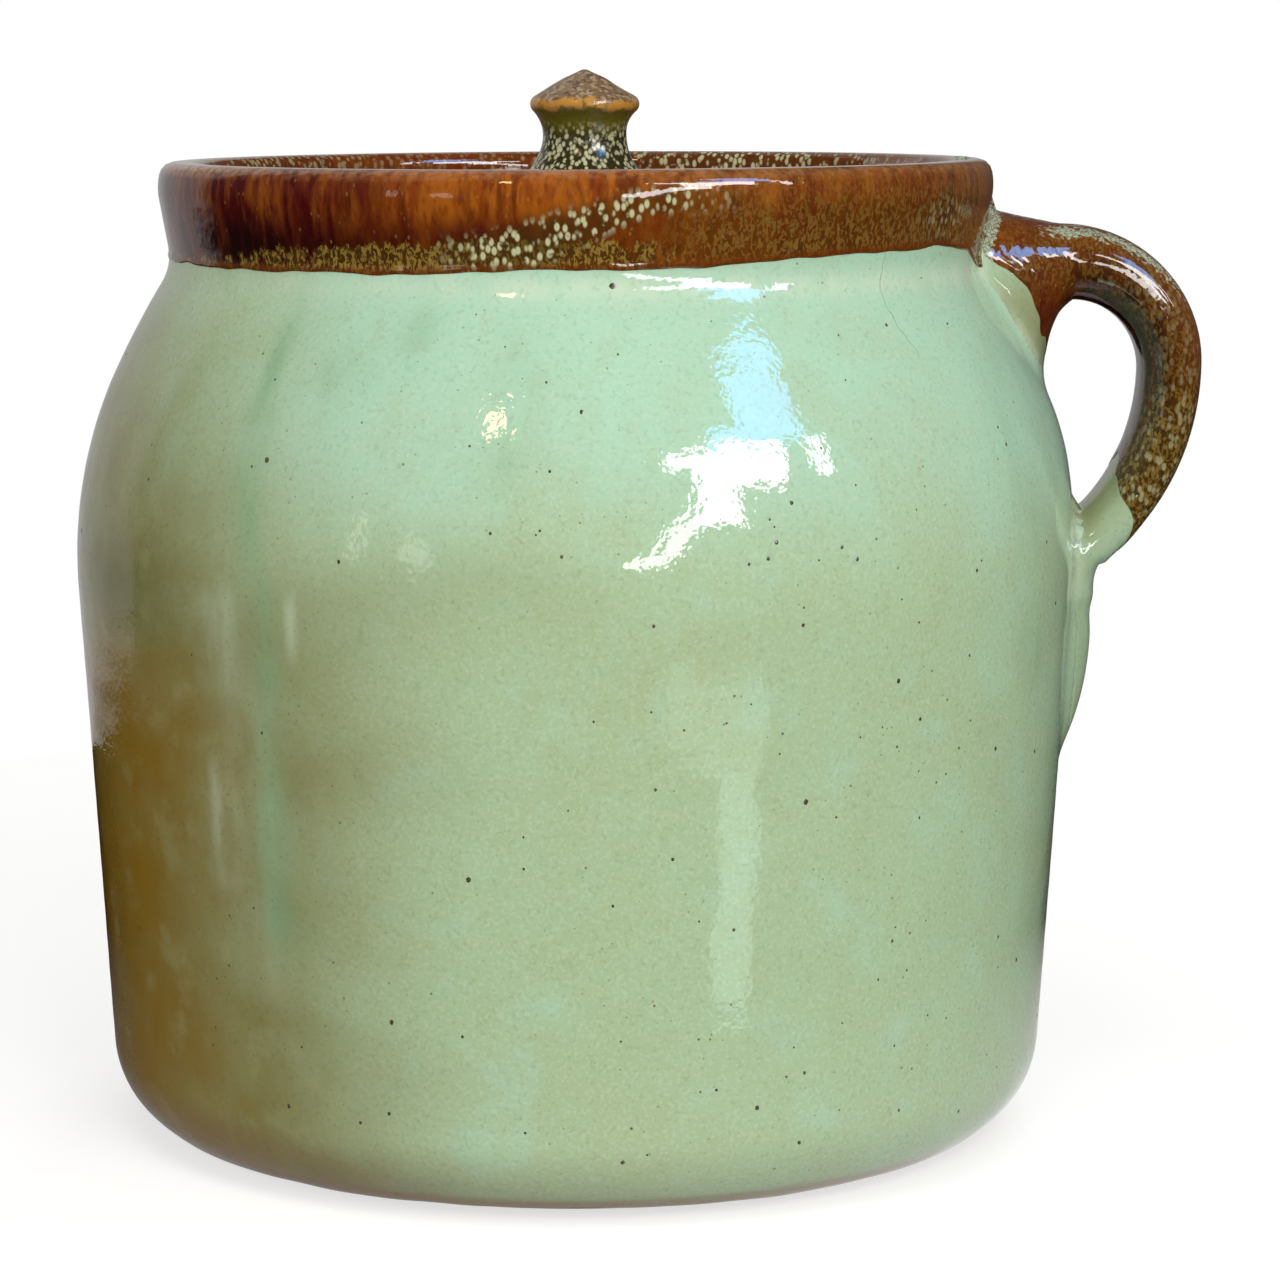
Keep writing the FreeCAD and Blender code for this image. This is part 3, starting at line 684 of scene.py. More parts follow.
    def surface(self, length: Array, angle: Array, level: Array) -> tuple[Array, Array]:
        """Points of the handle's surface, found by going out from its centre line.

        Args:
            length: Distances along the centre line, rows by columns.
            angle: Angles round the section in radians; 0 is the outer face, -90 degrees the front.
            level: How far each point stands off the glazed surface.

        Returns:
            The points, and how close each lies to the line where the wall begins.
        """
        centre = [np.interp(length, self.lengths, self.centre[:, i]) for i in (0, 1)]
        normal = [np.interp(length, self.lengths, self.normal[:, i]) for i in (0, 1)]
        half = [np.interp(length, self.lengths, self.half[:, i]) for i in (0, 1)]
        inner = self.search_start
        across, side = inner * half[0] * np.cos(angle), inner * half[1] * np.sin(angle)
        start = np.stack([centre[0] + across * normal[0], side, centre[1] + across * normal[1]], axis=-1)
        lean, swing = np.cos(angle) / half[0], np.sin(angle) / half[1]
        size = np.hypot(lean, swing)
        lean, swing = lean / size, swing / size
        way = np.stack([lean * normal[0], swing, lean * normal[1]], axis=-1)
        gone = np.zeros(length.shape)
        for _ in range(self.search_tries):
            joined = self.joined_distance(start + gone[..., None] * way)[0]
            step = np.clip(level - joined, -self.search_back, self.search_ahead) * self.search_pace
            gone = np.clip(gone + step, 0.0, self.search_reach)
        points = start + gone[..., None] * way
        _, wall, own = self.joined_distance(points)
        sink = np.clip((own - wall) * self.dive, 0.0, self.most_dive)
        points = points - sink[..., None] * way
        depth, out = self.pot.stand_off(points)
        rise = np.maximum(-self.hidden_depth - depth, 0.0)
        points = points + rise[..., None] * out
        return points, own - wall


@dataclass
class Rings:
    """A closed skin made of rings of points, with a value at each point for every named mark.

    Attributes:
        name: The piece's name.
        points: The rings, in rows by columns by three. The last one runs on to the first.
        shown_rows: How many rings lie on the side that is seen, and get most of the map.
        axis_row: The ring that ends at the axis, where it and the next one are closed off.
        marks: The named values, in rows by columns.
        strips: How many strips the map is cut into.
        map_part: The lower and the upper edge of the skin's part of the map.
    """

    name: str
    points: Array
    shown_rows: int
    axis_row: int | None = None
    marks: Marks = field(default_factory=dict)
    strips: int = 2
    map_part: Pair = (0.0, 1.0)

    HIDDEN_SHARE = 0.06
    MAP_GAP = 0.008

    def _on_map(self, column: Array, share: Array, right: float) -> Array:
        """Places on the map, in strips laid one above the other.

        Args:
            column: The columns of the faces.
            share: How far up its strip each place lies, from 0 to 1.
            right: How far across its face each place lies, from 0 to 1.

        Returns:
            One pair for each place.
        """
        per_strip = math.ceil(self.points.shape[1] / self.strips)
        strip = column // per_strip
        across = (column - strip * per_strip + right) / per_strip
        gap, (low, high) = self.MAP_GAP, self.map_part
        rise = (strip + gap + (1.0 - 2.0 * gap) * share) / self.strips
        return np.stack([gap + (1.0 - 2.0 * gap) * across, low + (high - low) * rise], axis=-1)

    def _map_edges(self) -> Array:
        """How far up its strip each ring lies on the map."""
        across = np.linalg.norm(np.diff(self.points, axis=0, append=self.points[:1]), axis=-1)
        heights = np.maximum(across.mean(axis=1), 0.05)
        heights[self.shown_rows :] *= self.HIDDEN_SHARE
        edges = np.concatenate([[0.0], np.cumsum(heights)])
        return edges / edges[-1]

    def _walls(self) -> tuple[list[list[int]], Array]:
        """The four-sided faces between the rings, and the map place of every corner."""
        rows, columns = self.points.shape[:2]
        row, column = np.meshgrid(np.arange(rows), np.arange(columns), indexing="ij")
        open_rows = row.ravel() != (-1 if self.axis_row is None else self.axis_row)
        row, column = row.ravel()[open_rows], column.ravel()[open_rows]
        up, beside = (row + 1) % rows, (column + 1) % columns
        corners = [(row, column), (row, beside), (up, beside), (up, column)]
        faces = np.stack([first * columns + second for first, second in corners], axis=-1)
        edges = self._map_edges()
        low, high = edges[row], edges[row + 1]
        places = [(low, 0.0), (low, 1.0), (high, 1.0), (high, 0.0)]
        spots = [self._on_map(column, share, right) for share, right in places]
        return faces.tolist(), np.stack(spots, axis=1).reshape(-1, 2)

    def _fans(self) -> tuple[list[list[int]], Array]:
        """The fans of faces that close the skin at the axis, and their places on the map."""
        rows, columns = self.points.shape[:2]
        column = np.arange(columns)
        beside, first = (column + 1) % columns, self.axis_row
        after = (first + 1) % rows
        middles = np.full(columns, rows * columns)
        edges = self._map_edges()
        low, high = np.full(columns, edges[first]), np.full(columns, edges[first + 1])
        middle = (low + high) / 2
        ending = [first * columns + column, first * columns + beside, middles]
        starting = [after * columns + beside, after * columns + column, middles + 1]
        faces = np.stack(ending, axis=-1).tolist() + np.stack(starting, axis=-1).tolist()
        spots = []
        for places in ([(low, 0.0), (low, 1.0), (middle, 0.5)], [(high, 1.0), (high, 0.0), (middle, 0.5)]):
            fan = [self._on_map(column, share, right) for share, right in places]
            spots.append(np.stack(fan, axis=1).reshape(-1, 2))
        return faces, np.concatenate(spots)

    def build(self) -> bpy.types.Object:
        """Makes the object, with smooth shading, its map and its marks."""
        faces, corners = self._walls()
        points = self.points.reshape(-1, 3) * MM
        ends: list[int] = []
        if self.axis_row is not None:
            ends = [self.axis_row, (self.axis_row + 1) % len(self.points)]
            closing, places = self._fans()
            faces, corners = faces + closing, np.concatenate([corners, places])
            points = np.concatenate([points, self.points[ends].mean(axis=1) * MM])
        mesh = bpy.data.meshes.new(self.name)
        mesh.from_pydata(points.tolist(), [], faces)
        layer = mesh.uv_layers.new(name=BAKE_MAP)
        layer.data.foreach_set("uv", corners.astype(np.float32).ravel())
        mesh.polygons.foreach_set("use_smooth", np.ones(len(faces), dtype=bool))
        for mark, values in self.marks.items():
            whole = np.concatenate([values.ravel(), values[ends].mean(axis=1)])
            store = mesh.attributes.new(mark, "FLOAT", "POINT")
            store.data.foreach_set("value", whole.astype(np.float32))
        mesh.update()
        made = bpy.data.objects.new(self.name, mesh)
        bpy.context.scene.collection.objects.link(made)
        return made


def join_objects(name: str, parts: Sequence[bpy.types.Object]) -> bpy.types.Object:
    """Makes one object of several.

    Args:
        name: The name of the joined object.
        parts: The objects, all of which go into it.

    Returns:
        The joined object.
    """
    with bpy.context.temp_override(active_object=parts[0], selected_editable_objects=list(parts)):
        bpy.ops.object.join()
    parts[0].name = name
    return parts[0]


def rows_between(low: Array, high: Array, step: float, edge: Sequence[float]) -> Array:
    """Distances of rows between two wavy edges.

    Args:
        low: Where the first row lies, for each column.
        high: Where the last row lies, for each column.
        step: About how far apart the rows are between the edges.
        edge: Distances from an edge of the rows that round it over, starting at 0.

    Returns:
        An array of rows by columns.
    """
    near = np.array(edge)[:, None]
    span = high - low - 2.0 * edge[-1]
    count = max(2, math.ceil(float(span.max()) / step))
    shares = np.linspace(0.0, 1.0, count + 1)[1:-1, None]
    middle = low + edge[-1] + span * shares
    return np.concatenate([low + near, middle, high - near[::-1]])


def srgb(code: str) -> tuple[float, float, float, float]:
    """Turns a colour written as it looks on screen into the linear one that a shader takes.

    Args:
        code: The colour, such as "#A0B090".

    Returns:
        Red, green and blue from 0 to 1, and an alpha of 1.
    """
    values = [int(code[i : i + 2], 16) / 255.0 for i in (1, 3, 5)]
    linear = [v / 12.92 if v <= 0.04045 else ((v + 0.055) / 1.055) ** 2.4 for v in values]
    return linear[0], linear[1], linear[2], 1.0


def add_node(
    tree: bpy.types.NodeTree, kind: str, inputs: dict | None = None, **settings: object
) -> bpy.types.Node:
    """Adds one node.

    Args:
        tree: The node tree.
        kind: The node's type.
        inputs: Values or sockets for its inputs, by name or number.
        settings: Values for the node's own properties.

    Returns:
        The node.
    """
    node = tree.nodes.new(kind)
    for name, value in settings.items():
        setattr(node, name, value)
    for key, value in (inputs or {}).items():
        if isinstance(value, Socket):
            tree.links.new(value, node.inputs[key])
        else:
            node.inputs[key].default_value = value
    return node


@dataclass
class Paint:
    """A material being painted: its tree, the place on the object in mm, and its colour so far."""

    tree: bpy.types.NodeTree
    place: Socket
    colour: Socket | None = None

    def stretched(self, scale: Triple) -> Socket:
        """The place drawn out along an axis, so that a pattern on it looks pulled that way."""
        inputs = {0: self.place, 1: scale}
        return add_node(self.tree, "ShaderNodeVectorMath", inputs, operation="MULTIPLY").outputs[0]

    def mark(self, name: str) -> Socket:
        """The value that the mesh holds under a name."""
        return add_node(self.tree, "ShaderNodeAttribute", attribute_name=name).outputs["Fac"]

    def step(
        self, value: Socket, low: float, high: float, straight: bool = False, ends: Pair = (0.0, 1.0)
    ) -> Socket:
        """A step from one level to another.

        Args:
            value: The value to step over.
            low: Where the step starts.
            high: Where it ends, above or below `low`.
            straight: Whether it rises evenly and not softly.
            ends: The levels before and after it.

        Returns:
            The stepped value.
        """
        inputs = {"Value": value, "From Min": low, "From Max": high, "To Min": ends[0], "To Max": ends[1]}
        how = "LINEAR" if straight else "SMOOTHSTEP"
        return add_node(self.tree, "ShaderNodeMapRange", inputs, interpolation_type=how).outputs["Result"]

    def maths(self, how: str, first: Socket | float, second: Socket | float) -> Socket:
        """Joins two values, or a value and a number, by one sum."""
        return add_node(self.tree, "ShaderNodeMath", {0: first, 1: second}, operation=how).outputs[0]

    def clouds(
        self, size: float, low: float, high: float, detail: float = 3.0,
        place: Socket | None = None, warp: float = 0.0,
    ) -> Socket:
        """Soft patches.

        Args:
            size: About how far apart they are, in mm.
            low: The level of the noise at which a patch begins.
            high: The level at which it is full.
            detail: How many finer noises break its edge.
            place: The place to read, if not the object's own.
            warp: How strongly the noise bends itself.

        Returns:
            The patches, from 0 to 1.
        """
        where = place or self.place
        inputs = {"Vector": where, "Scale": 1.0 / size, "Detail": detail, "Distortion": warp}
        noise = add_node(self.tree, "ShaderNodeTexNoise", inputs)
        return self.step(noise.outputs["Fac"], low, high)

    def grains(self, size: float, low: float, high: float, place: Socket | None = None) -> Socket:
        """Separate grains about `size` mm apart: 1 at the middle of each and 0 past its edge."""
        inputs = {"Vector": place or self.place, "Scale": 1.0 / size, "Randomness": 1.0}
        cells = add_node(self.tree, "ShaderNodeTexVoronoi", inputs)
        return self.step(cells.outputs["Distance"], high, low)

    def over(self, mask: Socket, code: str, share: float = 1.0, broken: Socket | None = None) -> None:
        """Lays a colour over what is painted so far.

        Args:
            mask: Where it lies.
            code: The colour.
            share: How much it covers where the mask is full.
            broken: A pattern that breaks it up, if any does.
        """
        if broken is not None:
            mask = self.maths("MULTIPLY", mask, broken)
        factor = self.maths("MULTIPLY", mask, share)
        inputs = {0: factor, 6: self.colour, 7: srgb(code)}
        mix = add_node(self.tree, "ShaderNodeMix", inputs, data_type="RGBA")
        self.colour = mix.outputs[2]


def start_paint(name: str, code: str) -> tuple[bpy.types.Material, Paint]:
    """Starts a material.

    Args:
        name: Its name.
        code: Its ground colour.

    Returns:
        The material and its paint.
    """
    made = bpy.data.materials.new(name)
    made.use_nodes = True
    made.node_tree.nodes.clear()
    tree = made.node_tree
    where = add_node(tree, "ShaderNodeTexCoord").outputs["Object"]
    inputs = {0: where, 1: (1.0 / MM,) * 3}
    place = add_node(tree, "ShaderNodeVectorMath", inputs, operation="MULTIPLY").outputs[0]
    ground = add_node(tree, "ShaderNodeRGB")
    ground.outputs[0].default_value = srgb(code)
    return made, Paint(tree, place, ground.outputs[0])


def finish_paint(
    paint: Paint,
    roughness: Socket | float,
    heights: Sequence[tuple[Socket, float]],
    ior: float,
) -> None:
    """Ends a material with its shader.

    Args:
        paint: The paint.
        roughness: The roughness, as a number or a pattern.
        heights: Patterns that raise the surface, each with its height in mm.
        ior: The index of refraction.
    """
    tree, normal = paint.tree, None
    for pattern, height in heights:
        inputs = {"Height": pattern, "Strength": 1.0, "Distance": height * MM}
        if normal is not None:
            inputs["Normal"] = normal
        normal = add_node(tree, "ShaderNodeBump", inputs).outputs["Normal"]
    inputs = {"Base Color": paint.colour, "Roughness": roughness, "IOR": ior}
    if normal is not None:
        inputs["Normal"] = normal
    shader = add_node(tree, "ShaderNodeBsdfPrincipled", inputs)
    add_node(tree, "ShaderNodeOutputMaterial", {"Surface": shader.outputs[0]})


@dataclass(frozen=True)
class StonewareClay:
    """Bare stoneware, thrown and once fired: matt, sandy and toasted tan at its edges."""

    tan: str = "#B08A62"
    toasted: str = "#8A5A36"
    pale: str = "#C9AA84"
    grit: str = "#4A3524"
    roughness: float = 0.82
    ior: float = 1.5
    grit_spacing: float = 2.2
    sand_size: float = 0.45

    def material(self) -> bpy.types.Material:
        """Paints the clay."""
        made, paint = start_paint("bare_stoneware", self.tan)
        paint.over(paint.clouds(26.0, 0.42, 0.68), self.toasted, 0.55)
        paint.over(paint.clouds(7.0, 0.5, 0.72), self.pale, 0.45)
        paint.over(paint.grains(self.grit_spacing, 0.05, 0.13), self.grit, 0.7)
        sand = paint.clouds(self.sand_size, 0.2, 0.8, detail=2.0)
        turning = paint.clouds(2.4, 0.3, 0.7, place=paint.stretched((0.05, 0.05, 1.0)))
        finish_paint(paint, self.roughness, [(sand, 0.05), (turning, 0.06)], self.ior)
        return made


@dataclass(frozen=True)
class CeladonGlaze:
    """Pale green iron glaze, fired glossy: a thin glass over grey clay, with specks of iron.

    Where it is thin or the flame has touched it, it turns ochre; where it runs, it is greener. The ochre
    and amber low on the left are partly painted warm reflection and shade.
    """

    green: str = "#A6BD96"
    cool_and_top_light: str = "#A9D0B6"
    sage: str = "#A6AA7A"
    khaki: str = "#7F7948"
    ochre: str = "#84661F"
    amber: str = "#744B12"
    char: str = "#5E5A22"
    rust: str = "#8A5A2C"
    run: str = "#7EA47C"
    drop: str = "#6E9068"
    greyed_and_shaded: str = "#93A079"
    milky_and_highlight: str = "#C6D6BC"
    iron: str = "#4E5234"
    crack: str = "#5E6B4C"
    roughness: float = 0.035
    ior: float = 1.5
    speck_spacing: float = 4.0
    fine_speck_spacing: float = 1.9
    grain_size: float = 0.8
    peel_size: float = 1.3
    sway_size: float = 15.0

    def material(self) -> bpy.types.Material:
        """Paints the glaze over its marks of scorching, runs, pooling and edge, and its painted light and
        shade.
        """
        made, paint = start_paint("celadon_glaze", self.green)
        down = paint.stretched((1.0, 1.0, 0.3))
        # Paler, bluer green on the shoulder: partly the glaze's own tone, partly painted light falling
        # from above.
        paint.over(paint.mark("cool_and_top_light"), self.cool_and_top_light, 0.85)
        paint.over(paint.clouds(30.0, 0.42, 0.66, detail=4.0, warp=0.6), self.sage, 0.2)
        paint.over(paint.clouds(11.0, 0.5, 0.75, detail=5.0), self.cool_and_top_light, 0.35)
        paint.over(paint.clouds(5.0, 0.52, 0.74, place=down), self.sage, 0.18)
        mottle = paint.clouds(self.grain_size, 0.45, 0.7, detail=2.0)
        paint.over(mottle, self.milky_and_highlight, 0.27)
        # A greyer green: a band across the belly at the front-left, and painted shade on the handle's
        # inner face.
        paint.over(paint.mark("greyed_and_shaded"), self.greyed_and_shaded, 0.4)
        self._scorch_and_painted_light(paint)
        softly = paint.maths("ADD", paint.clouds(6.0, 0.3, 0.7, detail=4.0, place=down), 0.35)
        paint.over(paint.mark("run"), self.run, 0.6, softly)
        paint.over(paint.mark("drop"), self.drop, 0.6, softly)
        # Pale milky streaks, and a pale line along the handle's join that is partly a painted highlight on
        # the glaze bead.
        paint.over(paint.mark("milky_and_highlight"), self.milky_and_highlight, 0.75, softly)
        paint.over(paint.mark("rust"), self.rust, 0.7)
        self._specks(paint)
        paint.over(self._crack(paint), self.crack, 0.6)
        paint.over(paint.clouds(self.grain_size * 1.3, 0.52, 0.72, detail=3.0), self.iron, 0.14)
        peel = paint.clouds(self.peel_size, 0.2, 0.8, detail=1.0)
        sway = paint.clouds(self.sway_size, 0.1, 0.9, detail=1.0)
        pits = paint.maths("SUBTRACT", 1.0, paint.grains(5.2, 0.03, 0.07))
        heights = [(sway, 0.2), (peel, 0.017), (pits, 0.02)]
        rough = paint.maths("ADD", paint.maths("MULTIPLY", mottle, 0.03), self.roughness)
        finish_paint(paint, rough, heights, self.ior)
        return made

    def _scorch_and_painted_light(self, paint: Paint) -> None:
        """Olive where the flame touched the glaze, and ochre to amber where it lies thin there. The ochre
        and amber low on the left are partly painted warm reflection and shade, and on the handle's inner
        face the olive is painted shade.
        """
        patchy = paint.clouds(13.0, 0.25, 0.75, detail=5.0, warp=0.4)
        uneven = paint.maths("ADD", paint.maths("MULTIPLY", patchy, 0.24), 0.86)
        # Olive where the flame touched the glaze, and painted shade on the handle's inner face.
        paint.over(paint.mark("scorched_and_shaded"), self.khaki, 0.92, uneven)
        paint.over(paint.mark("ochre"), self.ochre, 0.92, uneven)
        paint.over(paint.mark("amber"), self.amber, 0.65, uneven)
        paint.over(paint.mark("charred"), self.char, 0.75, uneven)
        paint.over(paint.mark("scorched_and_shaded"), self.sage, 0.2, paint.clouds(9.0, 0.52, 0.72, detail=5.0))

    def _specks(self, paint: Paint) -> None:
        """Iron specks in two sizes, closer together in some patches than in others."""
        patchy = paint.clouds(40.0, 0.4, 0.6)
        sizes = ((self.speck_spacing, 0.04, 0.085, 0.75), (self.fine_speck_spacing, 0.06, 0.13, 0.45))
        for spacing, core, edge, share in sizes:
            specks = paint.grains(spacing, core, edge)
            chosen = paint.clouds(spacing * 1.7, 0.48, 0.54)
            some = paint.maths("MULTIPLY", chosen, paint.maths("ADD", patchy, 0.35))
            paint.over(specks, self.iron, share, some)

    def _crack(self, paint: Paint) -> Socket:
        """A hairline, where the mesh holds a distance that passes through 0."""
        wander = paint.maths("SUBTRACT", paint.clouds(3.0, 0.0, 1.0), 0.5)
        distance = paint.maths("ADD", paint.mark("crack"), paint.maths("MULTIPLY", wander, 1.2))
        line = paint.step(paint.maths("ABSOLUTE", distance, 0.0), 0.16, 0.04)
        return paint.maths("MULTIPLY", line, paint.mark("cracked"))


@dataclass(frozen=True)
class IronGlaze:
    """Iron saturate glaze, fired glossy: red-brown where thin, khaki flecks where it runs."""

    name: str = "iron_glaze"
    brown: str = "#642E08"
    orange: str = "#9A5414"
    red: str = "#6A1A08"
    maroon: str = "#44090A"
    black: str = "#1C0604"
    khaki: str = "#8F7232"
    olive: str = "#402E0E"
    fleck: str = "#BDBB90"
    ash: str = "#7A6448"
    crackle: str = "#AEB89C"
    worn_and_sheen: str = "#B08660"
    roughness: float = 0.04
    ior: float = 1.52
    streak_width: float = 1.9
    fleck_size: float = 1.2
    worm_size: float = 0.75

    def material(self) -> bpy.types.Material:
        """Paints the glaze over its marks of colour, flecks, wear and pooling, with painted shade on the
        strap's inner face and a painted sheen on its outer face.
        """
        made, paint = start_paint(self.name, self.brown)
        down = paint.stretched((1.0, 1.0, 0.2))
        streaks = paint.clouds(self.streak_width, 0.4, 0.62, detail=3.0, place=down)
        wide = paint.clouds(8.0, 0.38, 0.64, detail=3.0, place=down)
        thinned = paint.maths("ADD", paint.mark("thin"), 0.25)
        paint.over(wide, self.orange, 0.75, thinned)
        paint.over(streaks, self.orange, 0.8, thinned)
        fine = paint.clouds(0.9, 0.48, 0.66, detail=2.0, place=paint.stretched((1.0, 1.0, 0.4)))
        paint.over(paint.clouds(3.0, 0.5, 0.66, detail=3.0, place=down), self.red, 0.55)
        paint.over(fine, self.maroon, 0.35)
        ragged = paint.maths("ADD", paint.clouds(2.6, 0.3, 0.7, detail=4.0, place=down), 0.45)
        paint.over(paint.mark("dark"), self.maroon, 0.85, ragged)
        # Near-black where the shade mark is; on the strap's inner face this is painted shade.
        paint.over(paint.mark("shade"), self.black, 0.9, ragged)
        self._flecks(paint)
        streaked = paint.clouds(1.4, 0.4, 0.6, detail=4.0, place=down)
        # Grey-brown streaks on the collar, and a painted grazing sheen along the strap's outer face.
        paint.over(paint.mark("ashen_and_sheen"), self.ash, 0.35, streaked)
        paint.over(paint.mark("edge"), self.brown, 0.7)
        # Pale tan where the lip and the lid's edge are rubbed, and a painted sheen on the outer face of
        # the strap's bow.
        worn_and_sheen = paint.maths("ADD", paint.clouds(1.6, 0.4, 0.6, detail=3.0), 0.25)
        paint.over(paint.mark("worn_and_sheen"), self.worn_and_sheen, 0.8, worn_and_sheen)
        self._crackle(paint)
        peel = paint.clouds(1.7, 0.2, 0.8, detail=1.0)
        sway = paint.clouds(9.0, 0.1, 0.9, detail=1.0)
        rough = paint.maths("ADD", paint.maths("MULTIPLY", fine, 0.05), self.roughness)
        finish_paint(paint, rough, [(sway, 0.09), (peel, 0.016)], self.ior)
        return made

    def _flecks(self, paint: Paint) -> None:
        """Khaki worm-like mottling low down, muddy mottling, and pale cells along a wedge."""
        drawn = paint.stretched((1.0, 1.0, 0.6))
        low, muddy = paint.mark("low"), paint.mark("muddy")
        worms = paint.clouds(self.worm_size, 0.46, 0.58, detail=2.0, warp=0.8, place=drawn)
        fringe = paint.clouds(1.7, 0.3, 0.7, detail=3.0, place=drawn)
        shifted = paint.maths("ADD", low, paint.maths("MULTIPLY", fringe, 0.5))
        strip = paint.maths("MULTIPLY", paint.step(shifted, 0.45, 0.75), paint.step(low, 0.0, 0.2))
        paint.over(strip, self.olive, 0.8)
        paint.over(strip, self.khaki, 0.85, worms)
        paint.over(muddy, self.olive, 0.6)
        paint.over(muddy, self.khaki, 0.55, worms)
        cells = paint.grains(self.fleck_size, 0.26, 0.52, place=drawn)
        flecks = paint.maths("MULTIPLY", cells, paint.clouds(1.9, 0.3, 0.44, detail=2.0))
        swoosh = paint.mark("swoosh")
        paint.over(swoosh, self.olive, 0.6)
        paint.over(swoosh, self.fleck, broken=flecks)
        chosen = paint.clouds(2.7, 0.5, 0.6, detail=2.0)
        paint.over(paint.grains(1.4, 0.1, 0.24, place=drawn), self.khaki, 0.5, chosen)

    def _crackle(self, paint: Paint) -> None:
        """Pale pooled glaze in the joint, crossed by a net of fine dark lines."""
        inputs = {"Vector": paint.place, "Scale": 1.0 / 1.1}
        cells = add_node(paint.tree, "ShaderNodeTexVoronoi", inputs, feature="DISTANCE_TO_EDGE")
        mark = paint.mark("crackle")
        shifted = paint.maths("ADD", mark, paint.clouds(1.0, 0.2, 0.8, detail=3.0))
        pooled = paint.maths("MULTIPLY", paint.step(shifted, 0.8, 1.1), paint.step(mark, 0.02, 0.2))
        paint.over(pooled, self.crackle, 0.95)
        paint.over(pooled, self.black, 0.65, paint.step(cells.outputs["Distance"], 0.11, 0.03))


@dataclass(frozen=True)
class LinerGlaze:
    """Grey-green liner glaze, poured in and swirled: glossy, thin on the throwing rings."""

    grey: str = "#9AA085"
    sand: str = "#A68F62"
    dark: str = "#6F6B48"
    iron: str = "#4A4028"
    roughness: float = 0.12
    ior: float = 1.5

    def material(self) -> bpy.types.Material:
        """Paints the glaze."""
        made, paint = start_paint("liner_glaze", self.grey)
        paint.over(paint.clouds(22.0, 0.42, 0.66, detail=4.0, warp=0.5), self.sand, 0.55)
        rings = paint.clouds(3.4, 0.45, 0.7, place=paint.stretched((0.06, 0.06, 1.0)))
        paint.over(rings, self.sand, 0.4)
        paint.over(paint.clouds(6.0, 0.56, 0.75, detail=5.0), self.dark, 0.35)
        paint.over(paint.grains(4.4, 0.05, 0.1), self.iron, 0.7)
        peel = paint.clouds(3.0, 0.2, 0.8, detail=1.0)
        finish_paint(paint, self.roughness, [(peel, 0.03)], self.ior)
        return made


@dataclass(frozen=True)
class MottledGlaze:
    """The knob's iron glaze, laid thick: dry and mottled on the cone, golden where it breaks."""

    taupe: str = "#7A5E40"
    ash: str = "#A89476"
    umber: str = "#4A3018"
    gold: str = "#B98434"
    olive: str = "#57530E"
    dark: str = "#262210"
    cream: str = "#BEBB94"
    roughness: float = 0.16
    ior: float = 1.52

    def material(self) -> bpy.types.Material:
        """Paints the glaze over its marks of edge, below and foot."""
        made, paint = start_paint("mottled_glaze", self.taupe)
        paint.over(paint.clouds(1.3, 0.46, 0.62, detail=3.0), self.ash, 0.8)
        paint.over(paint.clouds(1.1, 0.5, 0.64, detail=3.0, warp=0.6), self.umber, 0.8)
        paint.over(paint.mark("below"), self.olive, 0.95)
        paint.over(paint.mark("foot"), self.dark, 0.9)
        drawn = paint.stretched((1.0, 1.0, 0.7))
        cells = paint.grains(0.9, 0.3, 0.6, place=drawn)
        flecks = paint.maths("MULTIPLY", cells, paint.clouds(1.1, 0.3, 0.46, detail=2.0))
        paint.over(paint.mark("flecked"), self.cream, 0.9, flecks)
        uneven = paint.clouds(1.5, 0.36, 0.6, detail=3.0)
        shifted = paint.maths("MULTIPLY", paint.mark("edge"), paint.maths("ADD", uneven, 0.35))
        paint.over(paint.step(shifted, 0.1, 0.7), self.gold, 0.95)
        bump = paint.clouds(0.8, 0.2, 0.8, detail=2.0)
        rough = paint.maths("ADD", paint.maths("MULTIPLY", paint.mark("cone"), 0.2), self.roughness)
        finish_paint(paint, rough, [(bump, 0.035)], self.ior)
        return made


@dataclass(frozen=True)
class IronSpeck:
    """A grain of iron oxide that has melted up through the glaze: nearly black, a little dull."""

    black: str = "#3A3520"
    rim: str = "#6A6440"
    roughness: float = 0.22
    ior: float = 1.6

    def material(self) -> bpy.types.Material:
        """Paints the speck."""
        made, paint = start_paint("iron_speck", self.black)
        paint.over(paint.clouds(0.5, 0.45, 0.6, detail=2.0), self.rim, 0.5)
        bump = paint.clouds(0.3, 0.2, 0.8, detail=1.0)
        finish_paint(paint, self.roughness, [(bump, 0.02)], self.ior)
        return made


def dress(
    piece: bpy.types.Object,
    material: bpy.types.Material,
    body: Body,
    slot: Slot,
    nodes: Sequence[str] = (),
) -> bpy.types.Object:
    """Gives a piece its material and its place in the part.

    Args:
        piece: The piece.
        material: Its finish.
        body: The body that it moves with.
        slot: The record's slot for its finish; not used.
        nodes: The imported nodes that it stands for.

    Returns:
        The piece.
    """
    piece.data.materials.clear()
    piece.data.materials.append(material)
    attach(piece, body.value)
    if nodes:
        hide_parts(*nodes)
    LOG.info("%s: %d faces on %s", piece.name, len(piece.data.polygons), body.value)
    return piece


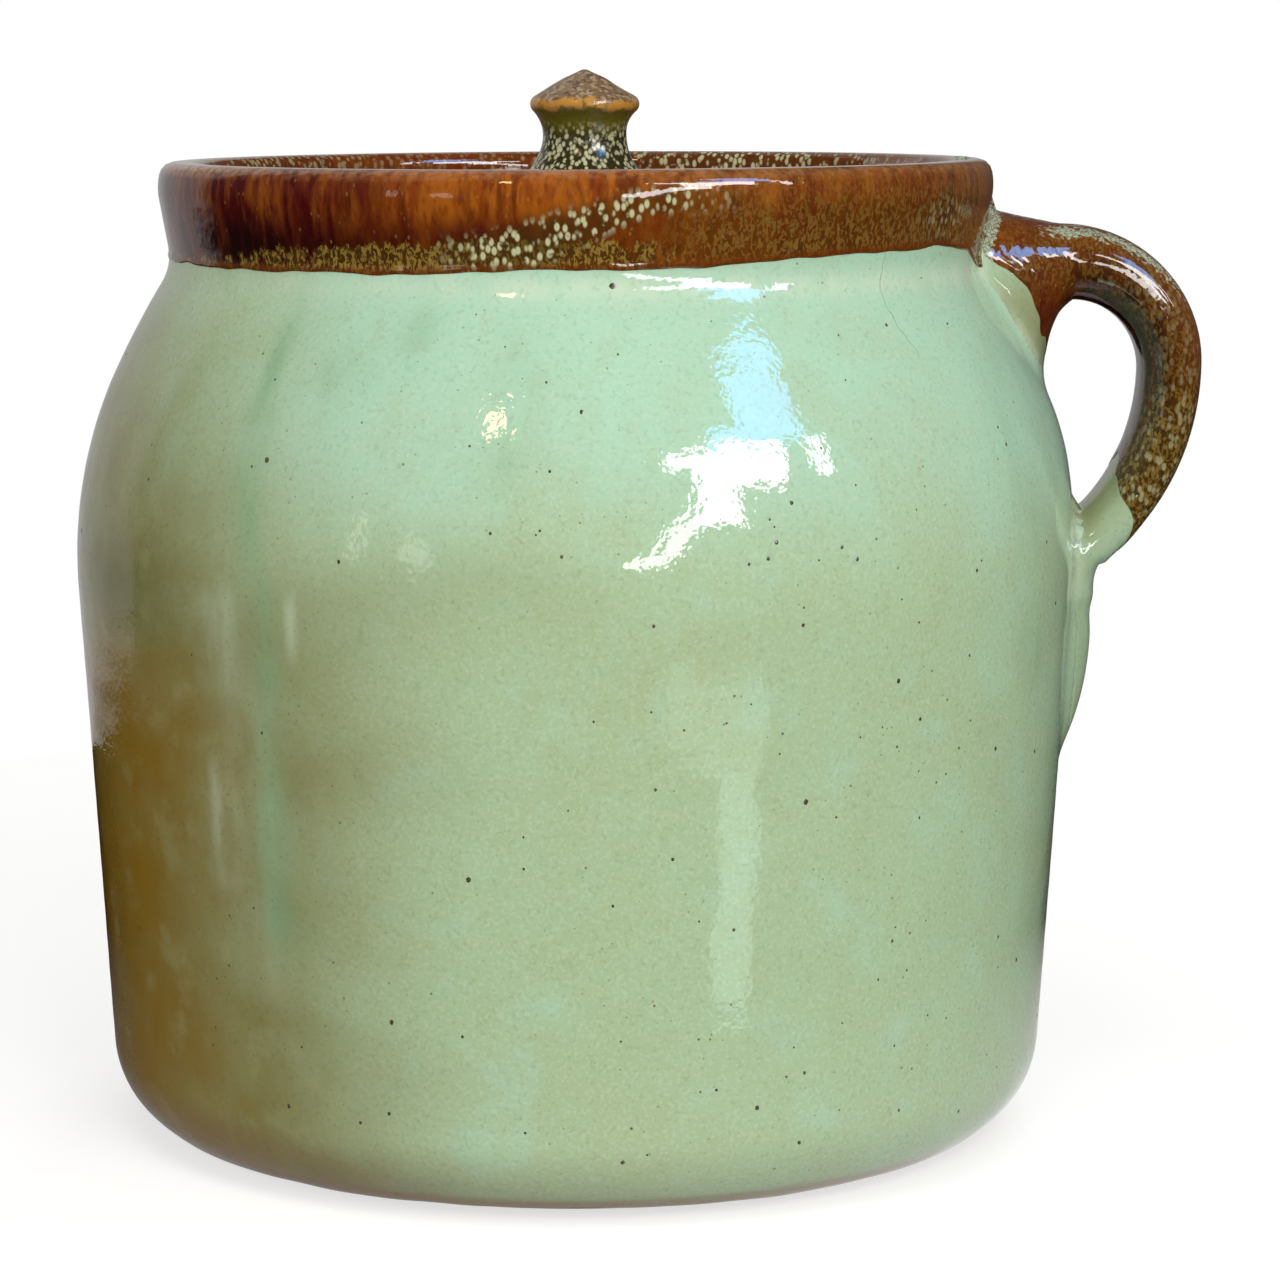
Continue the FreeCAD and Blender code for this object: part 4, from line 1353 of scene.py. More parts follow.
@dataclass
class Pot:
    """The pot's bare clay, its green and brown outer coats and its liner."""

    form: PotForm
    handle: HandleForm
    wide_columns: int = 250
    close_columns: int = 120
    close_angle: float = 30.0
    row_step: float = 1.35
    edge_rows: tuple[float, ...] = (0.0, 0.04, 0.14, 0.3, 0.55, 0.9, 1.3)
    foot_line: float = 2.2
    lap: float = 1.0
    proud: float = 0.2
    dip_edge: tuple[Pair, ...] = (
        (-180.0, 174.1),
        (-148.0, 174.0),
        (-113.0, 174.1),
        (-100.0, 175.1),
        (-80.0, 175.3),
        (-66.0, 176.3),
        (-52.0, 177.3),
        (-33.0, 177.8),
        (-22.0, 176.6),
        (-15.0, 172.8),
        (-12.5, 172.0),
        (12.5, 172.0),
        (15.0, 172.8),
        (24.0, 175.6),
        (48.0, 175.0),
        (96.0, 174.3),
        (140.0, 174.8),
    )

    def __post_init__(self) -> None:
        """Lays out the columns, closer together at the handle."""
        close = np.linspace(-self.close_angle, self.close_angle, self.close_columns, endpoint=False)
        wide = np.linspace(self.close_angle, 360.0 - self.close_angle, self.wide_columns, endpoint=False)
        self.angles = np.concatenate([close, wide])

    def foot_edge(self) -> Array:
        """Where the green coat starts, as a distance along the outside."""
        waves = ((3.0, 0.25, 0.4), (8.0, 0.2, 1.9), (19.0, 0.12, 0.2), (37.0, 0.07, 2.2))
        height = self.foot_line + ripple(self.angles, waves)
        return self.form.outside.length_at_height(height, self.form.base_radius)

    def dip_length(self) -> Array:
        """Where the brown coat starts, as a distance along the outside."""
        waves = ((11.0, 0.12, 0.3), (23.0, 0.14, 1.7), (41.0, 0.1, 0.8), (67.0, 0.06, 2.9))
        height = around(self.angles, self.dip_edge) + ripple(self.angles, waves)
        height = height - self.form.glaze * 0.2
        return self.form.outside.length_at_height(height, self.form.base_radius)

    def coat(
        self,
        name: str,
        path: Outline,
        rows: Array,
        offset: Array,
        under: Array,
        lift: bool,
        marks: Callable[[Array, Array], Marks],
        to_axis: bool = False,
    ) -> bpy.types.Object:
        """Makes a coat as a closed skin with a top and an underside.

        Args:
            name: The piece's name.
            path: The outline that it follows.
            rows: Distances along it, rows by columns.
            offset: How far the top stands off the clay.
            under: How far the underside stands off the clay.
            lift: Whether it runs up on to the handle.
            marks: Makes the marks from the top's points and its closeness to the handle.
            to_axis: Whether its last row closes at the axis.

        Returns:
            The object.
        """
        angle = np.broadcast_to(self.angles, rows.shape)
        top, normals = self.form.place(path, rows, angle, offset)
        seam = np.full(rows.shape, FAR)
        if lift:
            top, seam = self.handle.lift(top, normals, offset - self.form.glaze)
        thinned = np.unique(np.concatenate([np.arange(0, len(rows), 6), np.arange(7), [len(rows) - 1]]))
        thinned = thinned[::-1]
        bottom, _ = self.form.place(path, rows[thinned], angle[thinned], under[thinned])
        points = np.concatenate([top, bottom])
        made = marks(top, seam)
        both = {key: np.concatenate([value, value[thinned]]) for key, value in made.items()}
        axis_row = len(rows) - 1 if to_axis else None
        return Rings(name, points, len(rows), axis_row, both).build()

    def celadon(self) -> bpy.types.Object:
        """The green coat, from the wavy foot line to just under the brown one."""
        low, high = self.foot_edge(), self.dip_length() + self.lap
        rows = rows_between(low, high, self.row_step, self.edge_rows)
        rise = rounded(rows - low, 1.1) * rounded(high - rows, 0.5)
        offset = 0.03 + (self.form.glaze - 0.03) * rise
        roll = 0.12 * bell(rows - low - 1.6, 1.0)
        top, under = offset + roll, np.full(rows.shape, 0.01)
        return self.coat("celadon_coat", self.form.outside, rows, top, under, True, self.celadon_marks)

    @staticmethod
    def celadon_marks(points: Array, seam: Array) -> Marks:
        """Where the green coat is ochre, cool, run, milky, rusty or cracked. The ochre and amber low on
        the left are partly painted warm reflection and shade, the paler top is partly painted light from
        above, and the pale line along the handle's join is partly a painted highlight.

        Args:
            points: Points of the coat.
            seam: How close each lies to the line where the handle begins.

        Returns:
            The marks by name.
        """
        angle = np.degrees(np.arctan2(points[..., 1], points[..., 0]))
        height = points[..., 2]
        left = -turn_between(angle, -90.0)
        heights, starts, ends = np.array(SCORCH_EDGE).T
        start, end = np.interp(height, heights, starts), np.interp(height, heights, ends)
        sway = 1.8 * np.sin(height / 11.0) + 1.1 * np.sin(height / 4.3 + 1.0)
        slant = 0.3 * (height - 70.0) + 6.0 * np.sin(height / 16.0)
        fade = smooth(156.0, 104.0, left + slant * smooth(60.0, 100.0, left))
        scorched_and_shaded = smooth(0.0, 1.0, (left + sway - start) / (end - start))
        scorched_and_shaded = scorched_and_shaded * smooth(180.0, 158.0, height) * fade
        sunk = (34.0 + 7.0 * np.sin(left / 8.0)) * smooth(62.0, 122.0, left)
        # Ochre to amber low on the left: partly flame-flashed glaze, partly painted warm reflection and
        # shade.
        ochre = smooth(34.0, 62.0, left + sway) * smooth(114.0, 92.0, height + sunk) * fade
        amber = 0.4 * smooth(58.0, 84.0, left) * smooth(84.0, 30.0, height) * fade
        charred = bell(left - 61.0, 11.0) * bell(height - 114.5, 9.0)
        toe = smooth(17.0, 5.0, height) * bell(left - 60.0, 45.0)
        run, drop = np.zeros(angle.shape), np.zeros(angle.shape)
        for start, lean, top, foot, width, strength in RUNS:
            centre = start + lean * (top - height) + 0.9 * np.sin(height / 13.0)
            away = np.radians(turn_between(angle, centre)) * 97.0
            inside = smooth(foot - 6.0, foot + 4.0, height) * smooth(top + 6.0, top - 14.0, height)
            swollen = width * (1.0 + 0.6 * smooth(foot + 40.0, foot, height))
            run = np.maximum(run, strength * bell(away, swollen) * inside)
            tip = np.hypot(away / 3.4, (height - foot - 3.0) / 7.0)
            drop = np.maximum(drop, strength * bell(tip, 1.0))
        # Paler, bluer top: partly the glaze's tone, partly painted light from above; a little more towards
        # the handle.
        cool_and_top_light = smooth(112.0, 152.0, height) * (1.0 - 0.8 * smooth(22.0, 56.0, left) * fade)
        cool_and_top_light = cool_and_top_light + 0.35 * bell(turn_between(angle, 0.0), 40.0)
        # A greyer band across the belly at the front-left, with a patch above it.
        greyed_and_shaded = bell(height - 117.0 - 4.0 * np.sin(angle / 9.0), 8.0)
        greyed_and_shaded = greyed_and_shaded * smooth(-132.0, -122.0, angle) * smooth(-80.0, -98.0, angle)
        greyed_and_shaded = greyed_and_shaded + 0.8 * bell(turn_between(angle, -133.0), 7.0) * bell(height - 131.0, 6.0)
        milky_and_highlight = 0.8 * bell(height - 171.8, 2.2) * (1.0 - bell(turn_between(angle, -165.0), 40.0))
        for place, foot, top, width, strength in MILKY_STREAKS:
            away = np.radians(turn_between(angle, place)) * 98.0
            inside = smooth(foot - 3.0, foot + 3.0, height) * smooth(top + 3.0, top - 3.0, height)
            milky_and_highlight = milky_and_highlight + strength * bell(away, width) * inside
        rust = smooth(5.4, 3.2, height) + 0.5 * toe
        flank = bell(turn_between(angle, -10.0), 9.0) * smooth(4.0, 20.0, height)
        line = np.interp(height, [159.0, 163.1, 168.6, 176.8], [-43.9, -45.6, -46.5, -44.9])
        return {
            "scorched_and_shaded": np.clip(scorched_and_shaded + 0.25 * toe, 0.0, 1.0),
            "ochre": np.clip(ochre + 0.2 * toe, 0.0, 1.0),
            "amber": np.clip(amber + 0.45 * flank * smooth(84.0, 52.0, height), 0.0, 1.0),
            "charred": charred,
            "cool_and_top_light": np.clip(cool_and_top_light, 0.0, 1.0),
            "run": run,
            "drop": drop,
            "greyed_and_shaded": greyed_and_shaded,
            # The pale line along the handle's join is partly a painted highlight on the glaze bead.
            "milky_and_highlight": np.clip(milky_and_highlight + 0.7 * bell(seam - 0.6, 1.6) * smooth(101.0, 110.0, height), 0.0, 1.0),
            "rust": np.clip(rust, 0.0, 1.0),
            "crack": np.radians(turn_between(angle, 0.0) - line) * 84.0,
            "cracked": smooth(157.0, 160.0, height) * bell(angle + 45.0, 8.0),
        }

    def collar(self) -> bpy.types.Object:
        """The brown coat over the collar and the lip, down to the lid's seat."""
        form = self.form
        low = self.dip_length()
        seat_depth = form.inside.lengths[
            np.argmax(form.inside.points[:, 1] <= form.pot_height - form.gallery_depth + 0.02)
        ]
        whole = Outline(
            np.concatenate([form.outside.points, form.inside.points]),
            np.concatenate([form.outside.normals, form.inside.normals]),
        )
        high = np.full(low.shape, form.outside.total + seat_depth - 0.9)
        rows = rows_between(low, high, 1.0, self.edge_rows)
        lapped = smooth(self.lap + 0.6, self.lap - 0.2, rows - low)
        top = form.glaze + 0.06 + self.proud * lapped
        offset = lapped * form.glaze + (top - lapped * form.glaze) * rounded(rows - low, 0.9)
        offset = offset * rounded(high - rows, 0.6) + 0.02
        under = 0.02 + lapped * (form.glaze - 0.04)
        return self.coat("collar_coat", whole, rows, offset, under, True, self.collar_marks)

    def collar_marks(self, points: Array, seam: Array) -> Marks:
        """Where the brown coat is dark, khaki, flecked, thin or pooled.

        Args:
            points: Points of the coat.
            seam: How close each lies to the line where the handle begins.

        Returns:
            The marks by name.
        """
        angle = np.degrees(np.arctan2(points[..., 1], points[..., 0]))
        height = points[..., 2] - self.form.tilt(angle, points[..., 2])
        radius = np.hypot(points[..., 0], points[..., 1])
        above = height - around(angle, self.dip_edge)
        outer = smooth(78.6, 79.6, radius)
        left = turn_between(angle, -139.0)
        dark = smooth(34.0, 12.0, left) * smooth(-55.0, -25.0, left)
        dark = dark + 0.5 * bell(turn_between(angle, -108.0), 9.0) * smooth(12.0, 5.0, above)
        dark = dark + 0.6 * bell(turn_between(angle, -95.0), 12.0) * bell(above - 6.0, 3.0)
        dark = dark + 0.55 * bell(turn_between(angle, 150.0), 35.0)
        black = bell(turn_between(angle, -142.0), 16.0) * smooth(14.0, 4.0, above)
        black = black + 0.4 * bell(above - 5.5, 2.6) * bell(turn_between(angle, -118.0), 14.0)
        strip = 5.2 - 2.6 * smooth(8.0, -4.0, left) * smooth(-60.0, -20.0, left)
        front = smooth(-92.0, -74.0, angle) * smooth(30.0, 12.0, angle)
        low = smooth(strip + 1.4, strip - 2.2, above) * outer * (1.0 - 0.85 * front)
        low = low * (1.0 - 0.6 * smooth(-118.0, -128.0, angle))
        muddy = smooth(-86.0, -68.0, angle) * smooth(12.0, -8.0, angle)
        dark = dark + 0.3 * bell(turn_between(angle, -32.0), 28.0)
        muddy = muddy * (0.35 + 0.4 * smooth(14.0, 5.0, above))
        muddy = muddy + 0.6 * bell(turn_between(angle, 80.0), 50.0)
        line = 177.0 + 11.6 * smooth(-106.0, -76.0, angle)
        spread = 2.4 + 2.2 * smooth(-78.0, -100.0, angle)
        wedge = smooth(spread + 1.2, spread - 1.6, np.abs(height - line + 0.6))
        wedge = wedge * smooth(-110.0, -102.0, angle) * smooth(-66.0, -80.0, angle) * outer
        right = 0.45 * bell(height - 183.0, 3.6) * bell(turn_between(angle, -31.0), 6.0) * outer
        rim = bell(turn_between(angle, 62.0), 34.0) + 0.5 * bell(turn_between(angle, 150.0), 30.0)
        inside = 0.9 * rim * (1.0 - outer) * smooth(182.0, 186.0, height)
        ashen_and_sheen = bell(turn_between(angle, -18.0), 9.0) * outer
        worn_and_sheen = smooth(191.0, 192.4, height) * smooth(76.0, 77.0, radius)
        worn_and_sheen = worn_and_sheen * (0.35 + 0.65 * bell(turn_between(angle, -160.0), 22.0))
        return {
            "dark": np.clip(dark * outer, 0.0, 1.0),
            "shade": np.clip(black, 0.0, 1.0) * outer,
            "low": np.clip(low, 0.0, 1.0),
            "muddy": np.clip(muddy * outer, 0.0, 1.0),
            "swoosh": np.clip(wedge + right + inside, 0.0, 1.0),
            "thin": smooth(7.0, 13.5, above) * outer,
            "edge": smooth(1.3, 0.5, above) * outer,
            "ashen_and_sheen": ashen_and_sheen,
            "worn_and_sheen": worn_and_sheen,
            "crackle": bell(seam - 0.6, 1.5) * smooth(171.0, 175.0, height),
        }

    def liner(self) -> bpy.types.Object:
        """The coat inside the pot, from the seat's edge to the middle of the floor."""
        form = self.form
        start = form.inside.lengths[np.argmax(form.inside.points[:, 1] <= 181.6)]
        low = np.full(self.angles.shape, start)
        high = np.full(self.angles.shape, form.inside.total - 0.6)
        rows = rows_between(low, high, 2.0, (0.0, 0.15, 0.45, 1.0))
        offset = 0.03 + (form.glaze - 0.03) * rounded(rows - low, 0.9)
        under = np.full(rows.shape, 0.01)
        return self.coat(
            "liner_coat", form.inside, rows, offset, under, False, lambda points, seam: {}, to_axis=True
        )

    def clay(self) -> bpy.types.Object:
        """The bare pot, with turning marks under its base and a softened foot."""
        form = self.form
        flat_rows, heel_rows = np.linspace(0.4, 75.0, 34), np.linspace(75.6, 84.0, 15)
        outside = np.concatenate([flat_rows, heel_rows, np.linspace(85.5, form.outside.total, 100)])
        inside = np.linspace(0.5, form.inside.total - 0.4, 150)
        angles = self.angles[::2]
        parts = []
        for path, lengths in ((form.outside, outside), (form.inside, inside)):
            rows = np.broadcast_to(lengths[:, None], (len(lengths), len(angles)))
            turn = np.broadcast_to(angles, rows.shape)
            points, _ = form.place(path, rows, turn, np.zeros(rows.shape))
            parts.append(points)
        base = parts[0]
        radius = np.hypot(base[..., 0], base[..., 1])
        marks = 0.22 + 0.14 * np.sin(radius / 1.9 + np.radians(np.broadcast_to(angles, radius.shape)))
        flat = smooth(1.0, 0.2, base[..., 2]) * smooth(75.0, 70.0, radius)
        base[..., 2] += flat * marks
        points = np.concatenate(parts)
        return Rings("pot_body", points, len(points), len(points) - 1).build()


# Where the scorch begins and is full, each (height, degrees left of the front, and again).
SCORCH_EDGE: tuple[Triple, ...] = (
    (0.0, 8.0, 42.0),
    (92.0, 8.0, 42.0),
    (104.0, 7.0, 46.0),
    (117.0, 4.0, 56.0),
    (131.0, 10.0, 68.0),
    (149.0, 18.0, 86.0),
    (165.0, 24.0, 112.0),
)

# Runs of glaze, each (angle at its top, lean in degrees per mm, top, foot, width in mm, strength).
RUNS: tuple[tuple[float, float, float, float, float, float], ...] = (
    (-128.7, 0.0466, 172.0, 52.0, 3.4, 0.85),
    (-109.5, 0.0, 176.0, 161.0, 5.0, 0.22),
    (-119.0, 0.0, 176.0, 152.0, 11.0, 0.28),
    (-96.0, -0.02, 171.0, 138.0, 6.0, 0.2),
    (-30.0, 0.02, 171.0, 96.0, 7.0, 0.25),
    (52.0, -0.05, 171.0, 74.0, 3.6, 0.6),
    (84.0, 0.03, 171.0, 128.0, 5.4, 0.45),
    (131.0, -0.03, 171.0, 60.0, 3.4, 0.7),
)

# Pale streaks in the glaze, each (angle, foot, top, width in mm, strength).
MILKY_STREAKS: tuple[tuple[float, float, float, float, float], ...] = (
    (-132.9, 67.0, 84.0, 1.5, 0.4),
    (-131.5, 60.0, 78.0, 4.0, 0.2),
    (-121.3, 105.0, 116.0, 0.9, 0.5),
    (-131.0, 98.0, 117.0, 5.5, 0.32),
    (-128.0, 40.0, 98.0, 9.0, 0.12),
    (38.0, 60.0, 130.0, 5.0, 0.3),
    (118.0, 30.0, 96.0, 7.0, 0.25),
)


@dataclass
class Handle:
    """The strap's brown coat and the green coat on its lower end, its tail and its root."""

    form: HandleForm
    columns: int = 110
    row_step: float = 0.9
    edge_rows: tuple[float, ...] = (0.0, 0.05, 0.15, 0.35, 0.65, 1.0)
    lap: float = 1.0
    proud: float = 0.14
    dip_turn: float = 37.5
    dip_slant: float = 11.0
    root_edge: tuple[Pair, ...] = (
        (150.0, 93.5),
        (160.0, 91.6),
        (165.0, 89.8),
        (169.0, 88.6),
        (171.6, 86.6),
        (173.0, 82.9),
        (174.0, 79.0),
    )

    def __post_init__(self) -> None:
        """Lays out the columns round the strap, with the first on its outer face."""
        self.angles = np.linspace(0.0, 2.0 * math.pi, self.columns, endpoint=False)

    def dip_edge(self) -> Array:
        """Where the brown coat ends on the hanging curve, as a distance along the strap."""
        turn = self.dip_turn + self.dip_slant * np.cos(self.angles)
        waves = 0.5 * np.sin(5.0 * self.angles + 0.6) + 0.35 * np.sin(11.0 * self.angles + 2.0)
        return self.form.hang_length + self.form.hang_curve * np.radians(turn) + waves

    def root_line(self) -> Array:
        """Where the brown coat starts on the root, as a distance along the strap."""
        lengths = np.linspace(0.0, self.form.bow_length + 12.0, 90)
        rows = np.broadcast_to(lengths[:, None], (len(lengths), self.columns))
        angle = np.broadcast_to(self.angles, rows.shape)
        points, _ = self.form.surface(rows, angle, np.zeros(rows.shape))
        heights = np.array([knot[0] for knot in self.root_edge])
        limits = np.array([knot[1] for knot in self.root_edge])
        limit = np.interp(points[..., 2], heights, limits)
        brown = np.hypot(points[..., 0], points[..., 1]) > limit + 1.5
        first = lengths[np.argmax(brown, axis=0)]
        padded = np.concatenate([first[-3:], first, first[:3]])
        weights = np.array([0.05, 0.12, 0.2, 0.26, 0.2, 0.12, 0.05])
        soft = np.convolve(padded, weights, mode="valid")
        waves = 0.35 * np.sin(9.0 * self.angles + 0.4) + 0.2 * np.sin(17.0 * self.angles)
        return np.maximum(soft + waves, 1.0)

    def coat(
        self,
        name: str,
        low: Array,
        high: Array,
        proud: tuple[bool, bool],
        map_part: Pair = (0.0, 1.0),
    ) -> bpy.types.Object:
        """Makes one stretch of coat as a closed skin.

        Args:
            name: The piece's name.
            low: Where it starts, for each column.
            high: Where it ends.
            proud: Whether each end laps over the coat beyond it.
            map_part: The lower and the upper edge of its part of the map.

        Returns:
            The object.
        """
        rows = rows_between(low, high, self.row_step, self.edge_rows)
        angle = np.broadcast_to(self.angles, rows.shape)
        level = np.zeros(rows.shape)
        deep = np.full(rows.shape, -self.form.pot.glaze + 0.05)
        for wanted, away in zip(proud, (rows - low, high - rows)):
            if wanted:
                level = level + self.proud * rounded(away, 0.7) * smooth(6.0, 0.8, away)
                deep = np.where(away < self.lap, -0.04, deep)
        top, seam = self.form.surface(rows, angle, level)
        thinned = np.unique(np.concatenate([np.arange(0, len(rows), 3), [len(rows) - 1]]))[::-1]
        bottom, _ = self.form.surface(rows[thinned], angle[thinned], deep[thinned])
        marks = self.marks(rows, angle, top, seam)
        both = {key: np.concatenate([value, value[thinned]]) for key, value in marks.items()}
        points = np.concatenate([top, bottom])
        return Rings(name, points, len(rows), None, both, strips=1, map_part=map_part).build()

    def marks(self, length: Array, angle: Array, points: Array, seam: Array) -> Marks:
        """Where the strap's glaze is thin, dark, flecked or pooled, where shade is painted on its inner
        face and a sheen on its outer face, and where a highlight is painted along the join. A mark left
        out reads as 0.

        Args:
            length: Distances along the strap.
            angle: Angles round it in radians.
            points: Points of its surface.
            seam: How close each lies to the line where the wall begins.

        Returns:
            The marks by name, for the brown glaze and the green one.
        """
        form = self.form
        facing = np.cos(angle)
        along = length - form.bow_length
        bow, root = smooth(-6.0, 6.0, along), smooth(-26.0, -8.0, along)
        hang = smooth(form.hang_length - 4.0, form.hang_length + 22.0, length)
        # The inner face, turned towards the wall, which gets painted shade.
        inner = smooth(0.3, -0.3, facing)
        flank = bell(facing - 0.15, 0.5)
        patch = bell(facing - 0.62, 0.2) * smooth(-8.0, 0.0, along) * smooth(26.0, 12.0, along)
        flecked = 0.55 * flank * smooth(4.0, 20.0, along)
        flecked = flecked + 0.9 * hang * smooth(-0.85, -0.2, facing) * smooth(0.85, 0.3, facing)
        crackle = bell(seam + 0.8, 1.5) * smooth(168.0, 171.0, points[..., 2])
        # Paler along the join, partly a painted highlight on the glaze bead, and a little paler along the
        # strap's side.
        pale = 0.6 * bell(seam, 1.6) + 0.25 * bell(facing - 0.2, 0.5)
        return {
            "dark": 0.6 * smooth(0.7, -0.1, facing) * root,
            "shade": 0.9 * inner * bow,
            "low": 0.75 * hang * smooth(-0.6, 0.1, facing),
            "muddy": np.clip((0.6 + 0.5 * hang) * flank * root + 0.6 * hang, 0.0, 1.0),
            "swoosh": np.clip(0.3 * flecked, 0.0, 1.0),
            "thin": 0.05 + 0.3 * bell(facing - 0.5, 0.35) * np.sin(length / 5.0 + 0.6) ** 2,
            # Painted pinkish-brown sheen on the outer face, seen at a grazing angle.
            "ashen_and_sheen": 0.45 * smooth(0.6, 0.95, facing),
            "worn_and_sheen": 0.4 * smooth(0.88, 0.99, facing) * bow,
            "crackle": np.clip(crackle + 0.75 * patch, 0.0, 1.0),
            # Painted shade on the green inner face, which turns towards the wall: olive.
            "scorched_and_shaded": 0.75 * inner,
            "cool_and_top_light": np.full(length.shape, 0.3),
            "run": 0.35 * bell(facing, 0.3),
            # More painted shade on the inner face, in greyer green.
            "greyed_and_shaded": 0.5 * inner,
            "milky_and_highlight": np.clip(pale * smooth(101.0, 110.0, points[..., 2]), 0.0, 1.0),
        }

    def brown(self) -> bpy.types.Object:
        """The brown coat, from the collar round the bow to the slanting dip line."""
        return self.coat("handle_brown_coat", self.root_line(), self.dip_edge(), (True, True))

    def green(self) -> bpy.types.Object:
        """The green coat under the root, and on the lower end and the tail."""
        root_low = np.full(self.columns, 0.0)
        root_high, plain = self.root_line() + self.lap, (False, False)
        root = self.coat("root_green", root_low, root_high, plain, (0.0, 0.3))
        tail_high = np.full(self.columns, self.form.total)
        tail = self.coat("tail_green", self.dip_edge() - self.lap, tail_high, plain, (0.31, 1.0))
        return join_objects("handle_green_coat", [root, tail])


@dataclass
class Lid:
    """The thrown lid with its brown top and the mottled knob, in mm."""

    pot: PotForm
    clearance: float = 2.2
    thickness: float = 5.0
    edge_curve: float = 1.6
    offset: float = 1.4
    seat_gap: float = 0.2
    glaze_edge: float = 2.4
    knob_offset: float = 0.25
    knob_height: float = 23.1
    knob_edge_radius: float = 10.1
    knob_edge_curve: float = 1.1
    knob_edge_height: float = 16.6
    waist_radius: float = 7.6
    waist_height: float = 10.9
    flare_curve: float = 12.5
    tip_curve: float = 1.6
    columns: int = 200

    def __post_init__(self) -> None:
        """Works out the lid's radius, its height and its columns."""
        self.radius = self.pot.mouth_radius - self.pot.glaze - self.clearance
        self.low = self.pot.pot_height - self.pot.gallery_depth + self.seat_gap
        self.angles = np.linspace(0.0, 360.0, self.columns, endpoint=False)

    def outline(self) -> Outline:
        """From the middle of the underside, round the edge, to the middle of the top."""
        under, top, soft = 0.5, self.thickness, self.edge_curve
        drawing = Drawing()
        drawing.line((0.3, 0.0), (self.radius - under, 0.0), (0.0, -1.0))
        drawing.arc((self.radius - under, under), under, -math.pi / 2, 0.0, Side.ROUND)
        drawing.line((self.radius, under), (self.radius, top - soft), (1.0, 0.0))
        drawing.arc((self.radius - soft, top - soft), soft, 0.0, math.pi / 2, Side.ROUND)
        drawing.line((self.radius - soft, top), (0.3, top), (0.0, 1.0))
        return drawing.outline()

    def knob_outline(self) -> Outline:
        """From the knob's foot, by its waist and its sharp edge, to the tip of its cone."""
        edge = (self.knob_edge_radius - self.knob_edge_curve, self.knob_edge_height)
        waist = (self.waist_radius, self.waist_height)
        flare = (waist[0] + self.flare_curve, waist[1])
        rise, run, curve = edge[1] - waist[1], edge[0] - waist[0], self.knob_edge_curve
        hollow = (rise**2 + run**2 - curve**2) / (2.0 * (run + curve))
        neck = (waist[0] + hollow, waist[1])
        touch = math.atan2(edge[1] - neck[1], edge[0] - neck[0])
        tip = (0.0, self.knob_height - self.tip_curve)
        cone = common_tangent(edge, curve, tip, self.tip_curve)
        foot = math.asin((waist[1] - self.pot.glaze) / self.flare_curve)
        drawing = Drawing()
        drawing.arc(flare, self.flare_curve, math.pi + foot, math.pi, Side.HOLLOW)
        drawing.arc(neck, hollow, math.pi, touch, Side.HOLLOW)
        drawing.arc(edge, curve, touch - math.pi, cone, Side.ROUND)
        drawing.line(
            on_circle(edge, curve, cone),
            on_circle(tip, self.tip_curve, cone),
            (math.cos(cone), math.sin(cone)),
        )
        drawing.arc(tip, self.tip_curve, cone, math.pi / 2 - 0.06, Side.ROUND)
        return drawing.outline()

    def turned(
        self,
        path: Outline,
        lengths: Array,
        offset: Array,
        centre: float,
        height: float,
        uneven: float,
    ) -> Array:
        """Points of a turned surface with the faint spiral that throwing leaves.

        Args:
            path: Its outline.
            lengths: Distances along the outline.
            offset: How far each row stands off the clay.
            centre: Where its axis is, along X.
            height: The height of its foot.
            uneven: How deep the spiral is.

        Returns:
            The points, rows by columns.
        """
        flat, way = path.at(lengths)
        flat = flat + offset[:, None] * way
        turn = np.radians(self.angles)
        spiral = uneven * np.sin(lengths[:, None] / 1.35 + turn[None, :])
        spiral = spiral * smooth(0.0, 6.0, flat[:, 0])[:, None]
        radius = flat[:, 0, None] + way[:, 0, None] * spiral
        rise = flat[:, 1, None] + way[:, 1, None] * spiral
        radius = radius + 0.05 * uneven * np.sin(2.0 * turn + 0.8) * radius / 10.0
        points = [centre + radius * np.cos(turn), radius * np.sin(turn), height + rise]
        return np.stack(points, axis=-1)

    def clay(self) -> bpy.types.Object:
        """The bare lid, with turning rings on its underside."""
        path = self.outline()
        lengths = np.linspace(0.0, path.total, 190)
        points = self.turned(path, lengths, np.zeros(190), self.offset, self.low, 0.05)
        return Rings("lid_disc", points, len(points), len(points) - 1, strips=1).build()

    def glaze(self) -> bpy.types.Object:
        """The brown coat on the top of the lid, rounded over its edge."""
        path = self.outline()
        start = self.radius + self.thickness - self.glaze_edge - 0.2
        lengths = np.concatenate(
            [start + np.array([0.0, 0.05, 0.2, 0.45, 0.8]), np.linspace(start + 1.2, path.total, 110)]
        )
        rise = rounded(lengths - start, 0.8)
        offset = 0.02 + (self.pot.glaze - 0.02) * rise
        top = self.turned(path, lengths, offset, self.offset, self.low, 0.09)
        back = lengths[::-6]
        bottom = self.turned(path, back, np.full(len(back), 0.01), self.offset, self.low, 0.0)
        points = np.concatenate([top, bottom])
        marks = self.glaze_marks(points)
        return Rings("lid_coat", points, len(top), len(top) - 1, marks, strips=1).build()

